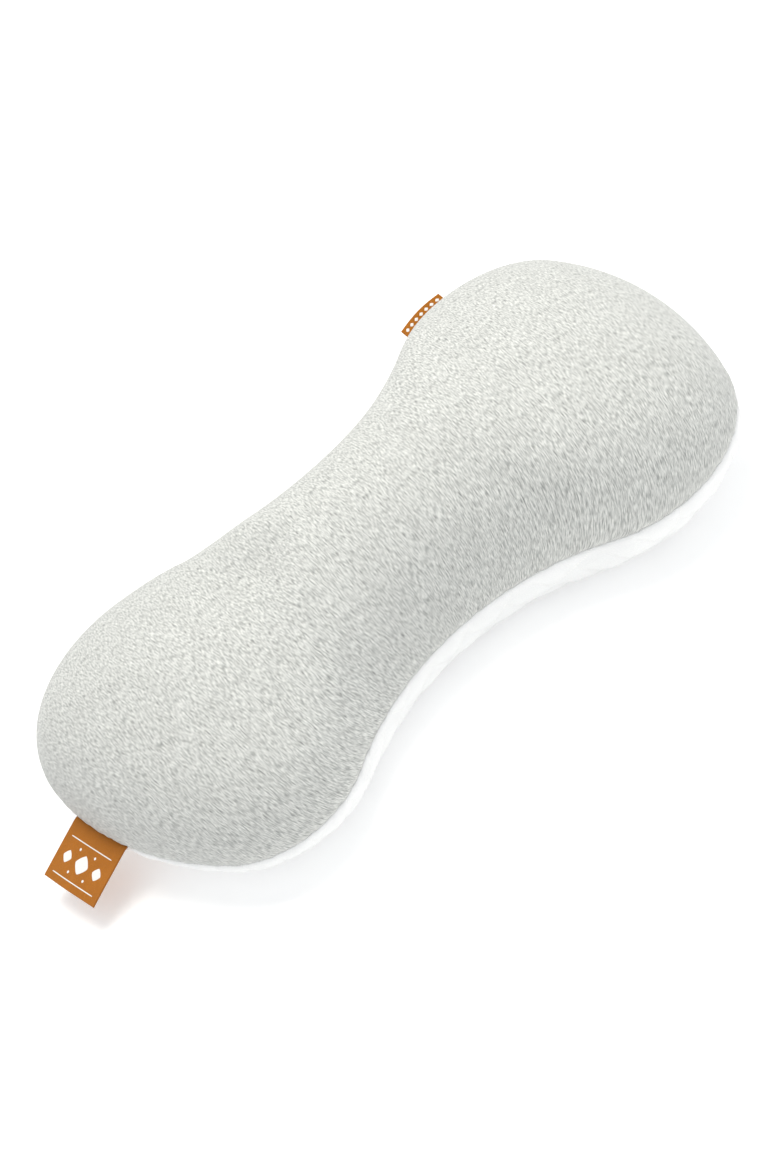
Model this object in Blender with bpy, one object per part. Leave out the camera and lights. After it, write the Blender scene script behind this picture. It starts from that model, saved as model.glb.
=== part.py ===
"""Peanut-shaped nursing pillow: a zipped two-sided cover over a stuffed inner cushion.

+X runs along the pillow, +Y to its far side and +Z up. The origin lies on the flat face that the
pillow rests on, under its middle. All values are in metres unless a name says otherwise.
"""

import math

import bmesh
import bpy
import numpy as np
from mathutils import Quaternion

MM = 0.001

# Overall size
LENGTH = 600 * MM
WIDTH = 325 * MM

# Outline from above: an end arc, two shoulders, and a hollow waist arc on each long side
FAR_SHOULDER_RADIUS = {"left": 98 * MM, "right": 88 * MM}
NEAR_SHOULDER_RADIUS = {"left": 85 * MM, "right": 104 * MM}
NEAR_SHOULDER_SETBACK = {"left": 26 * MM, "right": 20 * MM}
NEAR_SHOULDER_INSET = {"left": 13 * MM, "right": 0.0}
END_RADIUS = {"left": 300 * MM, "right": 298 * MM}
FAR_WAIST_HALF = 91.3 * MM
NEAR_WAIST_HALF = 96.2 * MM

# Side view: the seam climbs slightly to the right, the crown is highest over the right lobe
SEAM_HEIGHT = 48 * MM
SEAM_SLOPE_DEG = 1.8
CROWN_HEIGHT = {"left": 135 * MM, "waist": 152 * MM, "right": 159 * MM}
CROWN_LEVEL_TO = 70 * MM
CROWN_FULL_AT = 190 * MM
CROWN_POWER = 2.2
SPINE_SHARE = 0.5
REST_SHARE = 0.42

# Facets: columns along the length, and turns from the seam up the dome and down the bowl
COLUMNS = 32
DOME_TURNS_DEG = (15.0, 32.0, 50.0, 70.0)
BOWL_TURNS_DEG = (30.0, 52.0, 72.0, 90.0)

# Cloth layers, outside to inside
GAP = 0.3 * MM
TOP_CLOTH = 1.2 * MM
BOTTOM_CLOTH = 0.8 * MM
WADDING = 2.5 * MM
BACKING = 0.5 * MM
CASING_CLOTH = 0.8 * MM
CASING_ROOM = 0.5 * MM
SEAM_ALLOWANCE = 9 * MM
CUSHION_EDGE_ROOM = 3 * MM
OVERLOCK_DEPTH = 3 * MM
OVERLOCK_THREAD = 0.6 * MM
LAYER_EDGE_ROOM = 2.2 * MM

# Coil zip in the far waist
ZIP_LENGTH = 236 * MM
WINDOW_ROOM = 1.0 * MM
WINDOW_RAMP = 20 * MM
PLAIN_EDGE = 25 * MM
FOLD_LIP = 0.5 * MM
TAPE_ROOM = 0.7 * MM
TAPE_CLOTH = 0.6 * MM
TAPE_HEIGHT = 16 * MM
TAPE_TAIL = 8 * MM
TAPE_LAYER_ROOM = 2 * MM
COIL_SLIT = 1.6 * MM
COIL_HEIGHT = 2.6 * MM
COIL_DEPTH = 2.4 * MM
STOP_LENGTH = 2.5 * MM
STOP_PROUD = 0.2 * MM
ZIP_STEPS = 24

# Slider and pull
SLIDER_LENGTH = 10 * MM
SLIDER_PLATE = 1.0 * MM
SLIDER_CLEARANCE = 0.4 * MM
SLIDER_BACK_ROOM = 1.0 * MM
SLIDER_FLANGE_ROOM = 1.2 * MM
SLIDER_SIDE_ROOM = 0.6 * MM
SLIDER_NECK_ROOM = 0.3 * MM
SLIDER_END_ROOM = 0.5 * MM
BRIDGE_SETBACK = 0.8 * MM
BRIDGE_LEG = 1.2 * MM
BRIDGE_WIDTH = 1.6 * MM
BRIDGE_TOP = 0.8 * MM
BRIDGE_ROOM = 0.7 * MM
PULL_LENGTH = 26 * MM
PULL_WIDTH = 7 * MM
PULL_THICKNESS = 1.4 * MM
PULL_ROOM = 0.5 * MM
PULL_EYE_END_ROOM = 1.4 * MM
PULL_EYE_SIDE_ROOM = 1.2 * MM

# Woven tags, folded double and sewn into the seam
TAG_CLOTH = 0.45 * MM
TAG_FOLD_GAP = 0.3 * MM
TAG_HINGE_OUT = 0.9 * MM
TAG_ROOT_OUT = 0.5 * MM
END_TAG = {"width": 65 * MM, "length": 47 * MM, "lift_deg": -18.0, "off_middle": 8.5 * MM}
SIDE_TAG = {"width": 47 * MM, "length": 41 * MM, "lift_deg": 40.0, "from_end": 110 * MM}
FOLD_STEPS = 6

# Care label: it hangs inside the cover, this many columns to the left of the middle
LABEL_CLOTH = 0.3 * MM
LABEL_ROOM = 0.8 * MM
LABEL_COLUMN = COLUMNS // 2 - 3

# Finishes: colour, roughness and metallic value
FINISHES = {
    "grey_jersey": ((0.60, 0.61, 0.60), 0.95, 0.0),
    "white_quilt": ((0.88, 0.89, 0.90), 0.9, 0.0),
    "white_wadding": ((0.9, 0.9, 0.9), 1.0, 0.0),
    "seam_thread": ((0.8, 0.8, 0.78), 0.8, 0.0),
    "zip_white": ((0.85, 0.86, 0.87), 0.5, 0.0),
    "zip_metal": ((0.75, 0.76, 0.78), 0.3, 0.9),
    "orange_tag": ((0.53, 0.19, 0.03), 0.75, 0.0),
    "label_satin": ((0.9, 0.9, 0.88), 0.6, 0.0),
    "casing_cotton": ((0.86, 0.85, 0.82), 0.9, 0.0),
}


# What is fitted takes its size from what it fits and a named room
COLUMN_STEP = LENGTH / 2 * math.pi / COLUMNS
CUSHION_INSET = SEAM_ALLOWANCE + CUSHION_EDGE_ROOM
SLIDER_HALF_HEIGHT = COIL_SLIT / 2 + COIL_HEIGHT + SLIDER_SIDE_ROOM + SLIDER_PLATE
ZIP_WINDOW = 2 * (SLIDER_HALF_HEIGHT + WINDOW_ROOM)
TAPE_INSET = TOP_CLOTH + FOLD_LIP + TAPE_ROOM


# ---------------------------------------------------------------- outline

def point_at_distances(first, first_distance, second, second_distance, side):
    """The point at two distances from two centres, left (+1) or right (-1) of the way there."""
    way = second - first
    length = np.hypot(*way)
    along = (first_distance ** 2 - second_distance ** 2 + length ** 2) / (2 * length)
    across = math.sqrt(first_distance ** 2 - along ** 2)
    unit = way / length
    return first + unit * along + side * across * np.array([-unit[1], unit[0]])


def lobe(name, sign):
    """Centres of a lobe's far and near shoulders and of its end arc, which ends at LENGTH / 2."""
    far_radius = FAR_SHOULDER_RADIUS[name]
    near_radius = NEAR_SHOULDER_RADIUS[name]
    far = np.array([0.0, WIDTH / 2 - far_radius])
    near_y = near_radius + NEAR_SHOULDER_INSET[name] - WIDTH / 2
    near = np.array([-sign * NEAR_SHOULDER_SETBACK[name], near_y])
    end = point_at_distances(
        far, END_RADIUS[name] - far_radius, near, END_RADIUS[name] - near_radius, -sign)
    shift = np.array([sign * (LENGTH / 2 - END_RADIUS[name]) - end[0], 0.0])
    return far + shift, near + shift, end + shift


def touching_point(large, large_radius, small):
    """Where a circle touches another one that it wraps or runs into."""
    way = small - large
    return large + way / np.hypot(*way) * large_radius


def waist_arc(left, right, radii, side, half_width):
    """Centre and radius of the arc that touches both shoulders and leaves this half width.

    The half width grows with the radius, so the radius is found by halving its range.
    """
    smallest = (np.hypot(*(right - left)) - radii["left"] - radii["right"]) / 2
    low, high = smallest, smallest + 10 * LENGTH
    for _ in range(60):
        radius = (low + high) / 2
        centre = point_at_distances(
            left, radius + radii["left"], right, radius + radii["right"], side)
        if side * centre[1] - radius < half_width:
            low = radius
        else:
            high = radius
    return centre, radius


def side_arcs(far_side):
    """One long side from left to right: centre, radius, bulge and right-hand end of each arc."""
    left_far, left_near, left_end = lobe("left", -1)
    right_far, right_near, right_end = lobe("right", 1)
    if far_side:
        left, right, radii = left_far, right_far, FAR_SHOULDER_RADIUS
        half_width, side = FAR_WAIST_HALF, 1
    else:
        left, right, radii = left_near, right_near, NEAR_SHOULDER_RADIUS
        half_width, side = NEAR_WAIST_HALF, -1
    waist, waist_radius = waist_arc(left, right, radii, side, half_width)
    return [
        (left_end, END_RADIUS["left"], 1, touching_point(left_end, END_RADIUS["left"], left)[0]),
        (left, radii["left"], 1, touching_point(waist, waist_radius, left)[0]),
        (waist, waist_radius, -1, touching_point(waist, waist_radius, right)[0]),
        (right, radii["right"], 1, touching_point(right_end, END_RADIUS["right"], right)[0]),
        (right_end, END_RADIUS["right"], 1, LENGTH),
    ]


def edge_at(x, far_side):
    """Outline points and outward normals at each x, on the far or the near side."""
    side = 1 if far_side else -1
    points = np.zeros((len(x), 2))
    normals = np.zeros((len(x), 2))
    start = -LENGTH
    for centre, radius, bulge, stop in side_arcs(far_side):
        here = (x >= start) & (x < stop)
        run = x[here] - centre[0]
        rise = side * bulge * np.sqrt(np.maximum(radius ** 2 - run ** 2, 0.0))
        points[here] = np.column_stack([x[here], centre[1] + rise])
        normals[here] = bulge * np.column_stack([run, rise]) / radius
        start = stop
    return points, normals


# ---------------------------------------------------------------- stations

def ease(value):
    """A smooth step from 0 to 1."""
    value = np.clip(value, 0.0, 1.0)
    return value * value * (3 - 2 * value)


def seam_height_at(x):
    """The seam is a straight slope in the side view."""
    return SEAM_HEIGHT + x * math.tan(math.radians(SEAM_SLOPE_DEG))


def crown_height_at(x):
    """Level over the waist, easing to each lobe's own height."""
    reach = CROWN_FULL_AT - CROWN_LEVEL_TO
    left = ease((-x - CROWN_LEVEL_TO) / reach) * (CROWN_HEIGHT["left"] - CROWN_HEIGHT["waist"])
    right = ease((x - CROWN_LEVEL_TO) / reach) * (CROWN_HEIGHT["right"] - CROWN_HEIGHT["waist"])
    return CROWN_HEIGHT["waist"] + left + right


ZIP_CENTRE, FAR_WAIST_RADIUS = side_arcs(True)[2][:2]
ZIP_HALF_ANGLE = ZIP_LENGTH / 2 / FAR_WAIST_RADIUS
ZIP_HALF_RUN = FAR_WAIST_RADIUS * math.sin(ZIP_HALF_ANGLE)


class Stations:
    """Places round the outline, with the spine point, seam and crown height that belong to each."""

    def __init__(self, x, far):
        far_edge, far_normal = edge_at(x, True)
        near_edge, near_normal = edge_at(x, False)
        self.edge = np.where(far[:, None], far_edge, near_edge)
        normal = np.where(far[:, None], far_normal, near_normal)
        spine_x = SPINE_SHARE * x
        spine_y = (edge_at(spine_x, True)[0][:, 1] + edge_at(spine_x, False)[0][:, 1]) / 2
        self.spine = np.column_stack([spine_x, spine_y])
        way = self.spine - self.edge
        self.inward = -way / np.sum(way * normal, axis=1)[:, None]
        self.seam = seam_height_at(x)
        self.crown = crown_height_at(x)
        beyond_zip = np.where(far, np.abs(x - ZIP_CENTRE[0]) - ZIP_HALF_RUN, LENGTH)
        past_window = beyond_zip - COLUMN_STEP
        self.window = ZIP_WINDOW / 2 * ease(1 - past_window / WINDOW_RAMP)
        self.sewn = ease((past_window - WINDOW_RAMP - PLAIN_EDGE) / WINDOW_RAMP)


def loop_stations():
    """Left end, near side, right end and far side, closer together towards the ends."""
    step = np.arange(2 * COLUMNS)
    column = np.where(step <= COLUMNS, step, 2 * COLUMNS - step)
    x = -LENGTH / 2 * np.cos(math.pi * column / COLUMNS)
    return Stations(x, step > COLUMNS)


LOOP = loop_stations()


# ---------------------------------------------------------------- surfaces
# A level is (inset in plan, inset in height), so nested layers keep parallel facets. The inset in
# plan is measured square to the outline, and taken along the line from the edge to the spine.

def inset_edge(stations, level):
    return stations.edge + level[0] * stations.inward


def dome(stations, level, turn):
    """Upper surface: an oval from the edge (turn 0) to the spine (turn 90 degrees)."""
    share = np.cos(turn) ** (2 / CROWN_POWER)
    climb = np.sin(turn) ** (2 / CROWN_POWER)
    plan = stations.spine + (inset_edge(stations, level) - stations.spine) * share[:, None]
    height = stations.seam + (stations.crown - level[1] - stations.seam) * climb
    return np.column_stack([plan, height])


def dome_turn(stations, level, rise):
    """The turn at which the upper surface stands this far above the seam."""
    share = rise / (stations.crown - level[1] - stations.seam)
    return np.arcsin(np.clip(share, 0.0, 1.0) ** (CROWN_POWER / 2))


def bowl(stations, level, turn):
    """Lower surface: from the edge (turn 0) to the rim of the flat that it rests on."""
    share = REST_SHARE + (1 - REST_SHARE) * np.cos(turn)
    plan = stations.spine + (inset_edge(stations, level) - stations.spine) * share[:, None]
    height = stations.seam - (stations.seam - level[1]) * np.sin(turn)
    return np.column_stack([plan, height])


def bowl_turn(stations, level, fall):
    """The turn at which the lower surface lies this far below the seam."""
    return np.arcsin(fall / (stations.seam - level[1]))


def dome_rings(level, rise):
    """Rings of the upper surface, from the edge ring at this rise to the last before the spine."""
    turns = [dome_turn(LOOP, level, rise)]
    turns += [np.full(len(LOOP.seam), math.radians(turn)) for turn in DOME_TURNS_DEG]
    return [dome(LOOP, level, turn) for turn in turns]


def bowl_rings(level, fall):
    """Rings of the lower surface, from the edge ring at this fall to the rim of the flat."""
    turns = [bowl_turn(LOOP, level, fall)]
    turns += [np.full(len(LOOP.seam), math.radians(turn)) for turn in BOWL_TURNS_DEG]
    return [bowl(LOOP, level, turn) for turn in turns]


def trimmed(rings, fall):
    """The same rings with the first slid along its facets to this far below the seam."""
    first, second = rings[0], rings[1]
    share = (LOOP.seam - fall - first[:, 2]) / (second[:, 2] - first[:, 2])
    return [first + (second - first) * share[:, None]] + rings[1:]


def ridge(level):
    """The line along the spine where the two halves of the dome meet."""
    return dome(LOOP, level, np.full(len(LOOP.seam), math.pi / 2))[:COLUMNS + 1]


def fold_ring(inset, rise):
    """A ring in the seam allowance; along the zip the cloth is only turned under by a short lip."""
    return np.column_stack([LOOP.edge + inset[:, None] * LOOP.inward, LOOP.seam + rise])


# ---------------------------------------------------------------- meshes

def make_material(name):
    colour, roughness, metallic = FINISHES[name]
    material = bpy.data.materials.get(name) or bpy.data.materials.new(name)
    material.use_nodes = True
    shader = material.node_tree.nodes["Principled BSDF"]
    shader.inputs["Base Color"].default_value = (*colour, 1.0)
    shader.inputs["Roughness"].default_value = roughness
    shader.inputs["Metallic"].default_value = metallic
    return material


def make_object(name, vertices, faces, finish, smooth=True):
    """One named closed body with its faces turned outwards."""
    mesh = bpy.data.meshes.new(name)
    mesh.from_pydata([tuple(map(float, vertex)) for vertex in vertices], [], faces)
    work = bmesh.new()
    work.from_mesh(mesh)
    bmesh.ops.recalc_face_normals(work, faces=work.faces)
    work.to_mesh(mesh)
    work.free()
    if smooth:
        mesh.shade_smooth()
        mesh.set_sharp_from_angle(angle=math.radians(40))
    mesh.materials.append(make_material(finish))
    new_object = bpy.data.objects.new(name, mesh)
    bpy.context.scene.collection.objects.link(new_object)
    return new_object


def body_of_rings(name, outward, homeward, finish, first_ridge=None, last_ridge=None):
    """A closed body through rings round the outline, out to its edge and home again.

    Each end closes on a ridge line if one is given, and otherwise on a flat across the last ring.
    Each four-sided facet is cut along the diagonal that its neighbours above and below take, so
    that nested layers stay parallel.
    """
    count = 2 * COLUMNS
    rings = outward + homeward
    vertices = np.concatenate(rings)
    column = [step if step <= COLUMNS else count - step for step in range(count)]
    faces = []
    for ring in range(len(rings) - 1):
        low, high = ring * count, (ring + 1) * count
        for step in range(count):
            after = (step + 1) % count
            corners = (low + step, low + after, high + after, high + step)
            if ring >= len(outward):
                corners = corners[1:] + corners[:1]
            faces.append(corners[:3])
            faces.append((corners[0], corners[2], corners[3]))
    for base, line in ((0, first_ridge), ((len(rings) - 1) * count, last_ridge)):
        if line is None:
            faces.append((base, base + 1, base + count - 1))
            for step in range(1, COLUMNS - 1):
                far_step = count - step
                faces.append((base + step, base + step + 1, base + far_step - 1, base + far_step))
            faces.append((base + COLUMNS - 1, base + COLUMNS, base + COLUMNS + 1))
            continue
        crest = len(vertices)
        vertices = np.concatenate([vertices, line])
        for step in range(count):
            after = (step + 1) % count
            faces.append((base + step, base + after, crest + column[after]))
            faces.append((base + step, crest + column[after], crest + column[step]))
    return make_object(name, vertices, faces, finish)


def swept_body(name, sections, finish, smooth=True):
    """A closed body through cross-sections of equal point count, with flat ends."""
    count = len(sections[0])
    vertices = np.concatenate(sections)
    faces = []
    for section in range(len(sections) - 1):
        low, high = section * count, (section + 1) * count
        for step in range(count):
            after = (step + 1) % count
            faces.append((low + step, low + after, high + after, high + step))
    last = (len(sections) - 1) * count
    faces.append(tuple(range(count)))
    faces.append(tuple(range(last + count - 1, last - 1, -1)))
    return make_object(name, vertices, faces, finish, smooth)


def extruded(name, outline, axes, low, high, finish):
    """A flat outline given on two axes and carried along the third from low to high."""
    third = 3 - axes[0] - axes[1]
    sections = []
    for level in (low, high):
        section = np.zeros((len(outline), 3))
        section[:, axes[0]] = [point[0] for point in outline]
        section[:, axes[1]] = [point[1] for point in outline]
        section[:, third] = level
        sections.append(section)
    return swept_body(name, sections, finish, smooth=False)


def combine(target, tool, operation):
    """An exact Boolean whose tool stays in the file as a hidden wire guide."""
    modifier = target.modifiers.new(operation.lower(), "BOOLEAN")
    modifier.operation = operation
    modifier.solver = "EXACT"
    modifier.object = tool
    tool.hide_render = True
    tool.display_type = "WIRE"


# ---------------------------------------------------------------- cover

def sewn_between(along_zip, along_seam):
    """A size that has one value along the zip and another where the seam is sewn shut."""
    return along_zip + (along_seam - along_zip) * LOOP.sewn


def make_top_panel():
    """Stretch jersey dome with its seam allowance turned inwards."""
    outside, inside = (0.0, 0.0), (TOP_CLOTH, TOP_CLOTH)
    edge = GAP / 2 + LOOP.window
    allowance = sewn_between(TOP_CLOTH + FOLD_LIP, SEAM_ALLOWANCE)
    outward = dome_rings(outside, edge)[::-1] + [fold_ring(allowance, edge)]
    homeward = [fold_ring(allowance, edge + TOP_CLOTH)] + dome_rings(inside, edge + TOP_CLOTH)
    body_of_rings("cover_top_panel", outward, homeward, "grey_jersey", ridge(outside),
                  ridge(inside))


def make_bottom_panel():
    """Quilt face cloth under the pillow, with its seam allowance turned inwards."""
    outside, inside = (0.0, 0.0), (BOTTOM_CLOTH, BOTTOM_CLOTH)
    edge = GAP / 2 + LOOP.window
    allowance = sewn_between(BOTTOM_CLOTH + FOLD_LIP, SEAM_ALLOWANCE)
    outward = bowl_rings(outside, edge)[::-1] + [fold_ring(allowance, -edge)]
    homeward = [fold_ring(allowance, -edge - BOTTOM_CLOTH)]
    homeward += bowl_rings(inside, edge + BOTTOM_CLOTH)
    body_of_rings("cover_bottom_panel", outward, homeward, "white_quilt")


def make_bowl_layer(name, start, thickness, finish):
    """A layer of the quilt, cut short of the seam allowance and of the zip tape."""
    panel_edge = GAP / 2 + LOOP.window + BOTTOM_CLOTH
    overlock_base = GAP / 2 + BOTTOM_CLOTH + GAP + OVERLOCK_THREAD
    drop = sewn_between(TAPE_HEIGHT + TAPE_LAYER_ROOM, overlock_base + LAYER_EDGE_ROOM)
    outside = trimmed(bowl_rings((start, start), panel_edge), drop)
    end = start + thickness
    inside = trimmed(bowl_rings((end, end), panel_edge), drop)
    body_of_rings(name, outside[::-1], inside, finish)


WADDING_START = BOTTOM_CLOTH + GAP
BACKING_START = WADDING_START + WADDING + GAP
CUSHION_BASE = BACKING_START + BACKING + CASING_ROOM
CUSHION_TOP = TOP_CLOTH + CASING_ROOM


def make_overlock():
    """Thread that binds both raw edges together, everywhere but along the zip."""
    order = np.arange(2 * COLUMNS)
    first = order[(order > COLUMNS + COLUMNS // 2) & (LOOP.sewn == 1)][0]
    order = np.roll(order, -first)
    order = order[LOOP.sewn[order] == 1]
    inner_in = SEAM_ALLOWANCE - OVERLOCK_DEPTH
    inner_out = SEAM_ALLOWANCE + GAP
    outer_out = inner_out + OVERLOCK_THREAD
    top = GAP / 2 + TOP_CLOTH + GAP
    bottom = -(GAP / 2 + BOTTOM_CLOTH + GAP)
    outline = [
        (inner_in, top + OVERLOCK_THREAD), (outer_out, top + OVERLOCK_THREAD),
        (outer_out, bottom - OVERLOCK_THREAD), (inner_in, bottom - OVERLOCK_THREAD),
        (inner_in, bottom), (inner_out, bottom), (inner_out, top), (inner_in, top)]
    sections = []
    for step in order:
        section = [
            (*(LOOP.edge[step] + inset * LOOP.inward[step]), LOOP.seam[step] + rise)
            for inset, rise in outline]
        sections.append(np.array(section))
    swept_body("overlock_thread", sections, "seam_thread")


def make_care_label():
    """Satin label inside the cover, flat against one facet of the near waist."""
    pair = [LABEL_COLUMN, LABEL_COLUMN + 1]
    sections = []
    for inset in (TOP_CLOTH + LABEL_ROOM, TOP_CLOTH + LABEL_ROOM + LABEL_CLOTH):
        low, high = [
            dome(LOOP, (inset, inset), np.full(len(LOOP.seam), math.radians(turn)))[pair]
            for turn in DOME_TURNS_DEG[:2]]
        sections.append(np.array([low[0], low[1], high[1], high[0]]))
    swept_body("care_label", sections, "label_satin", smooth=False)


# ---------------------------------------------------------------- inner cushion

def make_cushion():
    """Cotton casing in two halves round one block of fibre filling."""
    half_gap = np.full(len(LOOP.seam), GAP / 2)
    level_top = (CUSHION_INSET, CUSHION_TOP)
    level_base = (CUSHION_INSET, CUSHION_BASE)
    inner_top = (CUSHION_INSET + CASING_CLOTH, CUSHION_TOP + CASING_CLOTH)
    inner_base = (CUSHION_INSET + CASING_CLOTH, CUSHION_BASE + CASING_CLOTH)
    body_of_rings("inner_casing_top", dome_rings(level_top, half_gap)[::-1],
                  dome_rings(inner_top, half_gap), "casing_cotton", ridge(level_top),
                  ridge(inner_top))
    body_of_rings("inner_casing_bottom", bowl_rings(level_base, half_gap)[::-1],
                  bowl_rings(inner_base, half_gap), "casing_cotton")
    fill_top = (inner_top[0] + GAP, inner_top[1] + GAP)
    fill_base = (inner_base[0] + GAP, inner_base[1] + GAP)
    level = np.zeros(len(LOOP.seam))
    body_of_rings("fibre_filling", dome_rings(fill_top, level)[:0:-1],
                  bowl_rings(fill_base, level), "white_wadding", first_ridge=ridge(fill_top))


# ---------------------------------------------------------------- zip
# The zip's own frame: origin on the axis that the slider turns about, -Y towards the pillow.

COIL_BACK = TAPE_INSET - GAP
COIL_FRONT = COIL_BACK - COIL_DEPTH
TAIL_ANGLE = TAPE_TAIL / FAR_WAIST_RADIUS
STOP_ANGLE = (GAP + STOP_LENGTH) / FAR_WAIST_RADIUS
SLIDER_REST_ANGLE = -ZIP_HALF_ANGLE + (SLIDER_LENGTH / 2 + SLIDER_END_ROOM) / FAR_WAIST_RADIUS


def place_in_zip_frame(piece, angle=0.0):
    """Put a piece on the slider's axis, tilted as the seam is and turned along the zip."""
    tilt = Quaternion((0.0, 1.0, 0.0), -math.radians(SEAM_SLOPE_DEG))
    piece.location = (ZIP_CENTRE[0], ZIP_CENTRE[1], seam_height_at(ZIP_CENTRE[0]))
    piece.rotation_mode = "QUATERNION"
    piece.rotation_quaternion = tilt @ Quaternion((0.0, 0.0, 1.0), angle)


def zip_bar(name, start, stop, front, back, low, high, steps, finish):
    """A bar of rectangular section bent along the zip, between two angles."""
    sections = []
    for angle in np.linspace(start, stop, steps + 1):
        out = np.array([math.sin(angle), -math.cos(angle)])
        near_axis = out * (FAR_WAIST_RADIUS + front)
        far_axis = out * (FAR_WAIST_RADIUS + back)
        sections.append(np.array([
            (*near_axis, low), (*near_axis, high), (*far_axis, high), (*far_axis, low)]))
    place_in_zip_frame(swept_body(name, sections, finish, smooth=False))


def make_coils_and_stops():
    """Two rows of coil, the stops that end each row, and the one that joins them at the far end."""
    low = COIL_SLIT / 2
    high = low + COIL_HEIGHT
    end = ZIP_HALF_ANGLE
    gap = GAP / FAR_WAIST_RADIUS
    front = COIL_FRONT - STOP_PROUD
    for name, near, far in (("upper", low, high), ("lower", -high, -low)):
        zip_bar(f"zip_coil_{name}", -end, end, COIL_FRONT, COIL_BACK, near, far, ZIP_STEPS,
                "zip_white")
        zip_bar(f"zip_top_stop_{name}", -end - STOP_ANGLE, -end - gap, front, COIL_BACK, near, far,
                1, "zip_metal")
    zip_bar("zip_bottom_stop", end + gap, end + STOP_ANGLE, front, COIL_BACK, -high, high, 1,
            "zip_metal")


def make_tapes():
    """Woven tapes behind the folded edges of both panels, following their surfaces."""
    angle = np.linspace(-ZIP_HALF_ANGLE - TAIL_ANGLE, ZIP_HALF_ANGLE + TAIL_ANGLE, ZIP_STEPS + 1)
    x = ZIP_CENTRE[0] + FAR_WAIST_RADIUS * np.sin(angle)
    places = Stations(x, np.full(len(x), True))
    heights = np.linspace(COIL_SLIT / 2, TAPE_HEIGHT, 3)
    for name, surface, turn_at in (("upper", dome, dome_turn), ("lower", bowl, bowl_turn)):
        lines = []
        for inset, order in ((TAPE_INSET, heights), (TAPE_INSET + TAPE_CLOTH, heights[::-1])):
            level = (inset, 0.0)
            for height in order:
                spread = np.full(len(x), height)
                lines.append(surface(places, level, turn_at(places, level, spread)))
        swept_body(f"zip_tape_{name}", list(np.stack(lines, axis=1)), "zip_white")


SLIDER_FRONT_IN = COIL_FRONT - SLIDER_CLEARANCE
SLIDER_FRONT_OUT = SLIDER_FRONT_IN - SLIDER_PLATE
SLIDER_BACK_IN = TAPE_INSET + TAPE_CLOTH + SLIDER_BACK_ROOM
PULL_BAR = SLIDER_FRONT_OUT - PULL_ROOM - PULL_THICKNESS / 2


def depth(value):
    """A depth behind the cover's edge as a place on the zip frame's Y axis."""
    return -(FAR_WAIST_RADIUS + value)


def make_slider():
    """Front and back plates joined by a neck in the slit, with a bridge that holds the pull."""
    outer = SLIDER_HALF_HEIGHT
    inner = outer - SLIDER_PLATE
    neck = COIL_SLIT / 2 - SLIDER_NECK_ROOM
    flange = TAPE_INSET - SLIDER_FLANGE_ROOM
    half = [
        (SLIDER_FRONT_OUT, outer), (flange, outer), (flange, inner), (SLIDER_FRONT_IN, inner),
        (SLIDER_FRONT_IN, neck), (SLIDER_BACK_IN, neck), (SLIDER_BACK_IN, inner),
        (SLIDER_BACK_IN + SLIDER_PLATE, inner)]
    outline = [(depth(place), height) for place, height in half]
    outline += [(depth(place), -height) for place, height in half[::-1]]
    slider = extruded("zip_slider", outline, (1, 2), -SLIDER_LENGTH / 2, SLIDER_LENGTH / 2,
                      "zip_metal")
    leg_out = SLIDER_LENGTH / 2 - BRIDGE_SETBACK
    leg_in = leg_out - BRIDGE_LEG
    foot = depth(SLIDER_FRONT_OUT + GAP)
    roof_in = depth(PULL_BAR - PULL_THICKNESS / 2 - BRIDGE_ROOM)
    roof_out = roof_in + BRIDGE_TOP
    arch = [
        (-leg_out, foot), (-leg_out, roof_out), (leg_out, roof_out), (leg_out, foot),
        (leg_in, foot), (leg_in, roof_in), (-leg_in, roof_in), (-leg_in, foot)]
    bridge = extruded("slider_bridge_guide", arch, (0, 1), -BRIDGE_WIDTH / 2, BRIDGE_WIDTH / 2,
                      "zip_metal")
    bridge.parent = slider
    combine(slider, bridge, "UNION")
    place_in_zip_frame(slider, SLIDER_REST_ANGLE)
    return slider


def make_pull(slider):
    """Flat pull with an eye whose end bar lies under the slider's bridge."""
    bar = PULL_THICKNESS / 2
    half_width = PULL_WIDTH / 2
    nose = PULL_LENGTH - half_width
    outline = [(-bar, -half_width)]
    for turn in np.linspace(-math.pi / 2, math.pi / 2, 9):
        outline.append((nose + half_width * math.cos(turn), half_width * math.sin(turn)))
    outline.append((-bar, half_width))
    pull = extruded("zip_pull", outline, (0, 2), -bar, bar, "zip_metal")
    eye_end = SLIDER_LENGTH / 2 - BRIDGE_SETBACK + PULL_EYE_END_ROOM
    eye = BRIDGE_WIDTH / 2 + PULL_EYE_SIDE_ROOM
    hole = [(bar, -eye), (eye_end, -eye), (eye_end, eye), (bar, eye)]
    cutter = extruded("pull_eye_guide", hole, (0, 2), -PULL_THICKNESS, PULL_THICKNESS, "zip_metal")
    cutter.parent = pull
    combine(pull, cutter, "DIFFERENCE")
    pull.parent = slider
    pull.location = (0.0, depth(PULL_BAR), 0.0)


# ---------------------------------------------------------------- tags

def tag_place(tag, on_end):
    """Seam point, outward direction and heading of a tag on the left end or the far side."""
    if on_end:
        end = lobe("left", -1)[2]
        radius = END_RADIUS["left"]
        rise = tag["off_middle"] - end[1]
        point = np.array([end[0] - math.sqrt(radius ** 2 - rise ** 2), tag["off_middle"]])
        out = (point - end) / radius
    else:
        points, normals = edge_at(np.array([LENGTH / 2 - tag["from_end"]]), True)
        point, out = points[0], normals[0]
    return point, out


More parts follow.
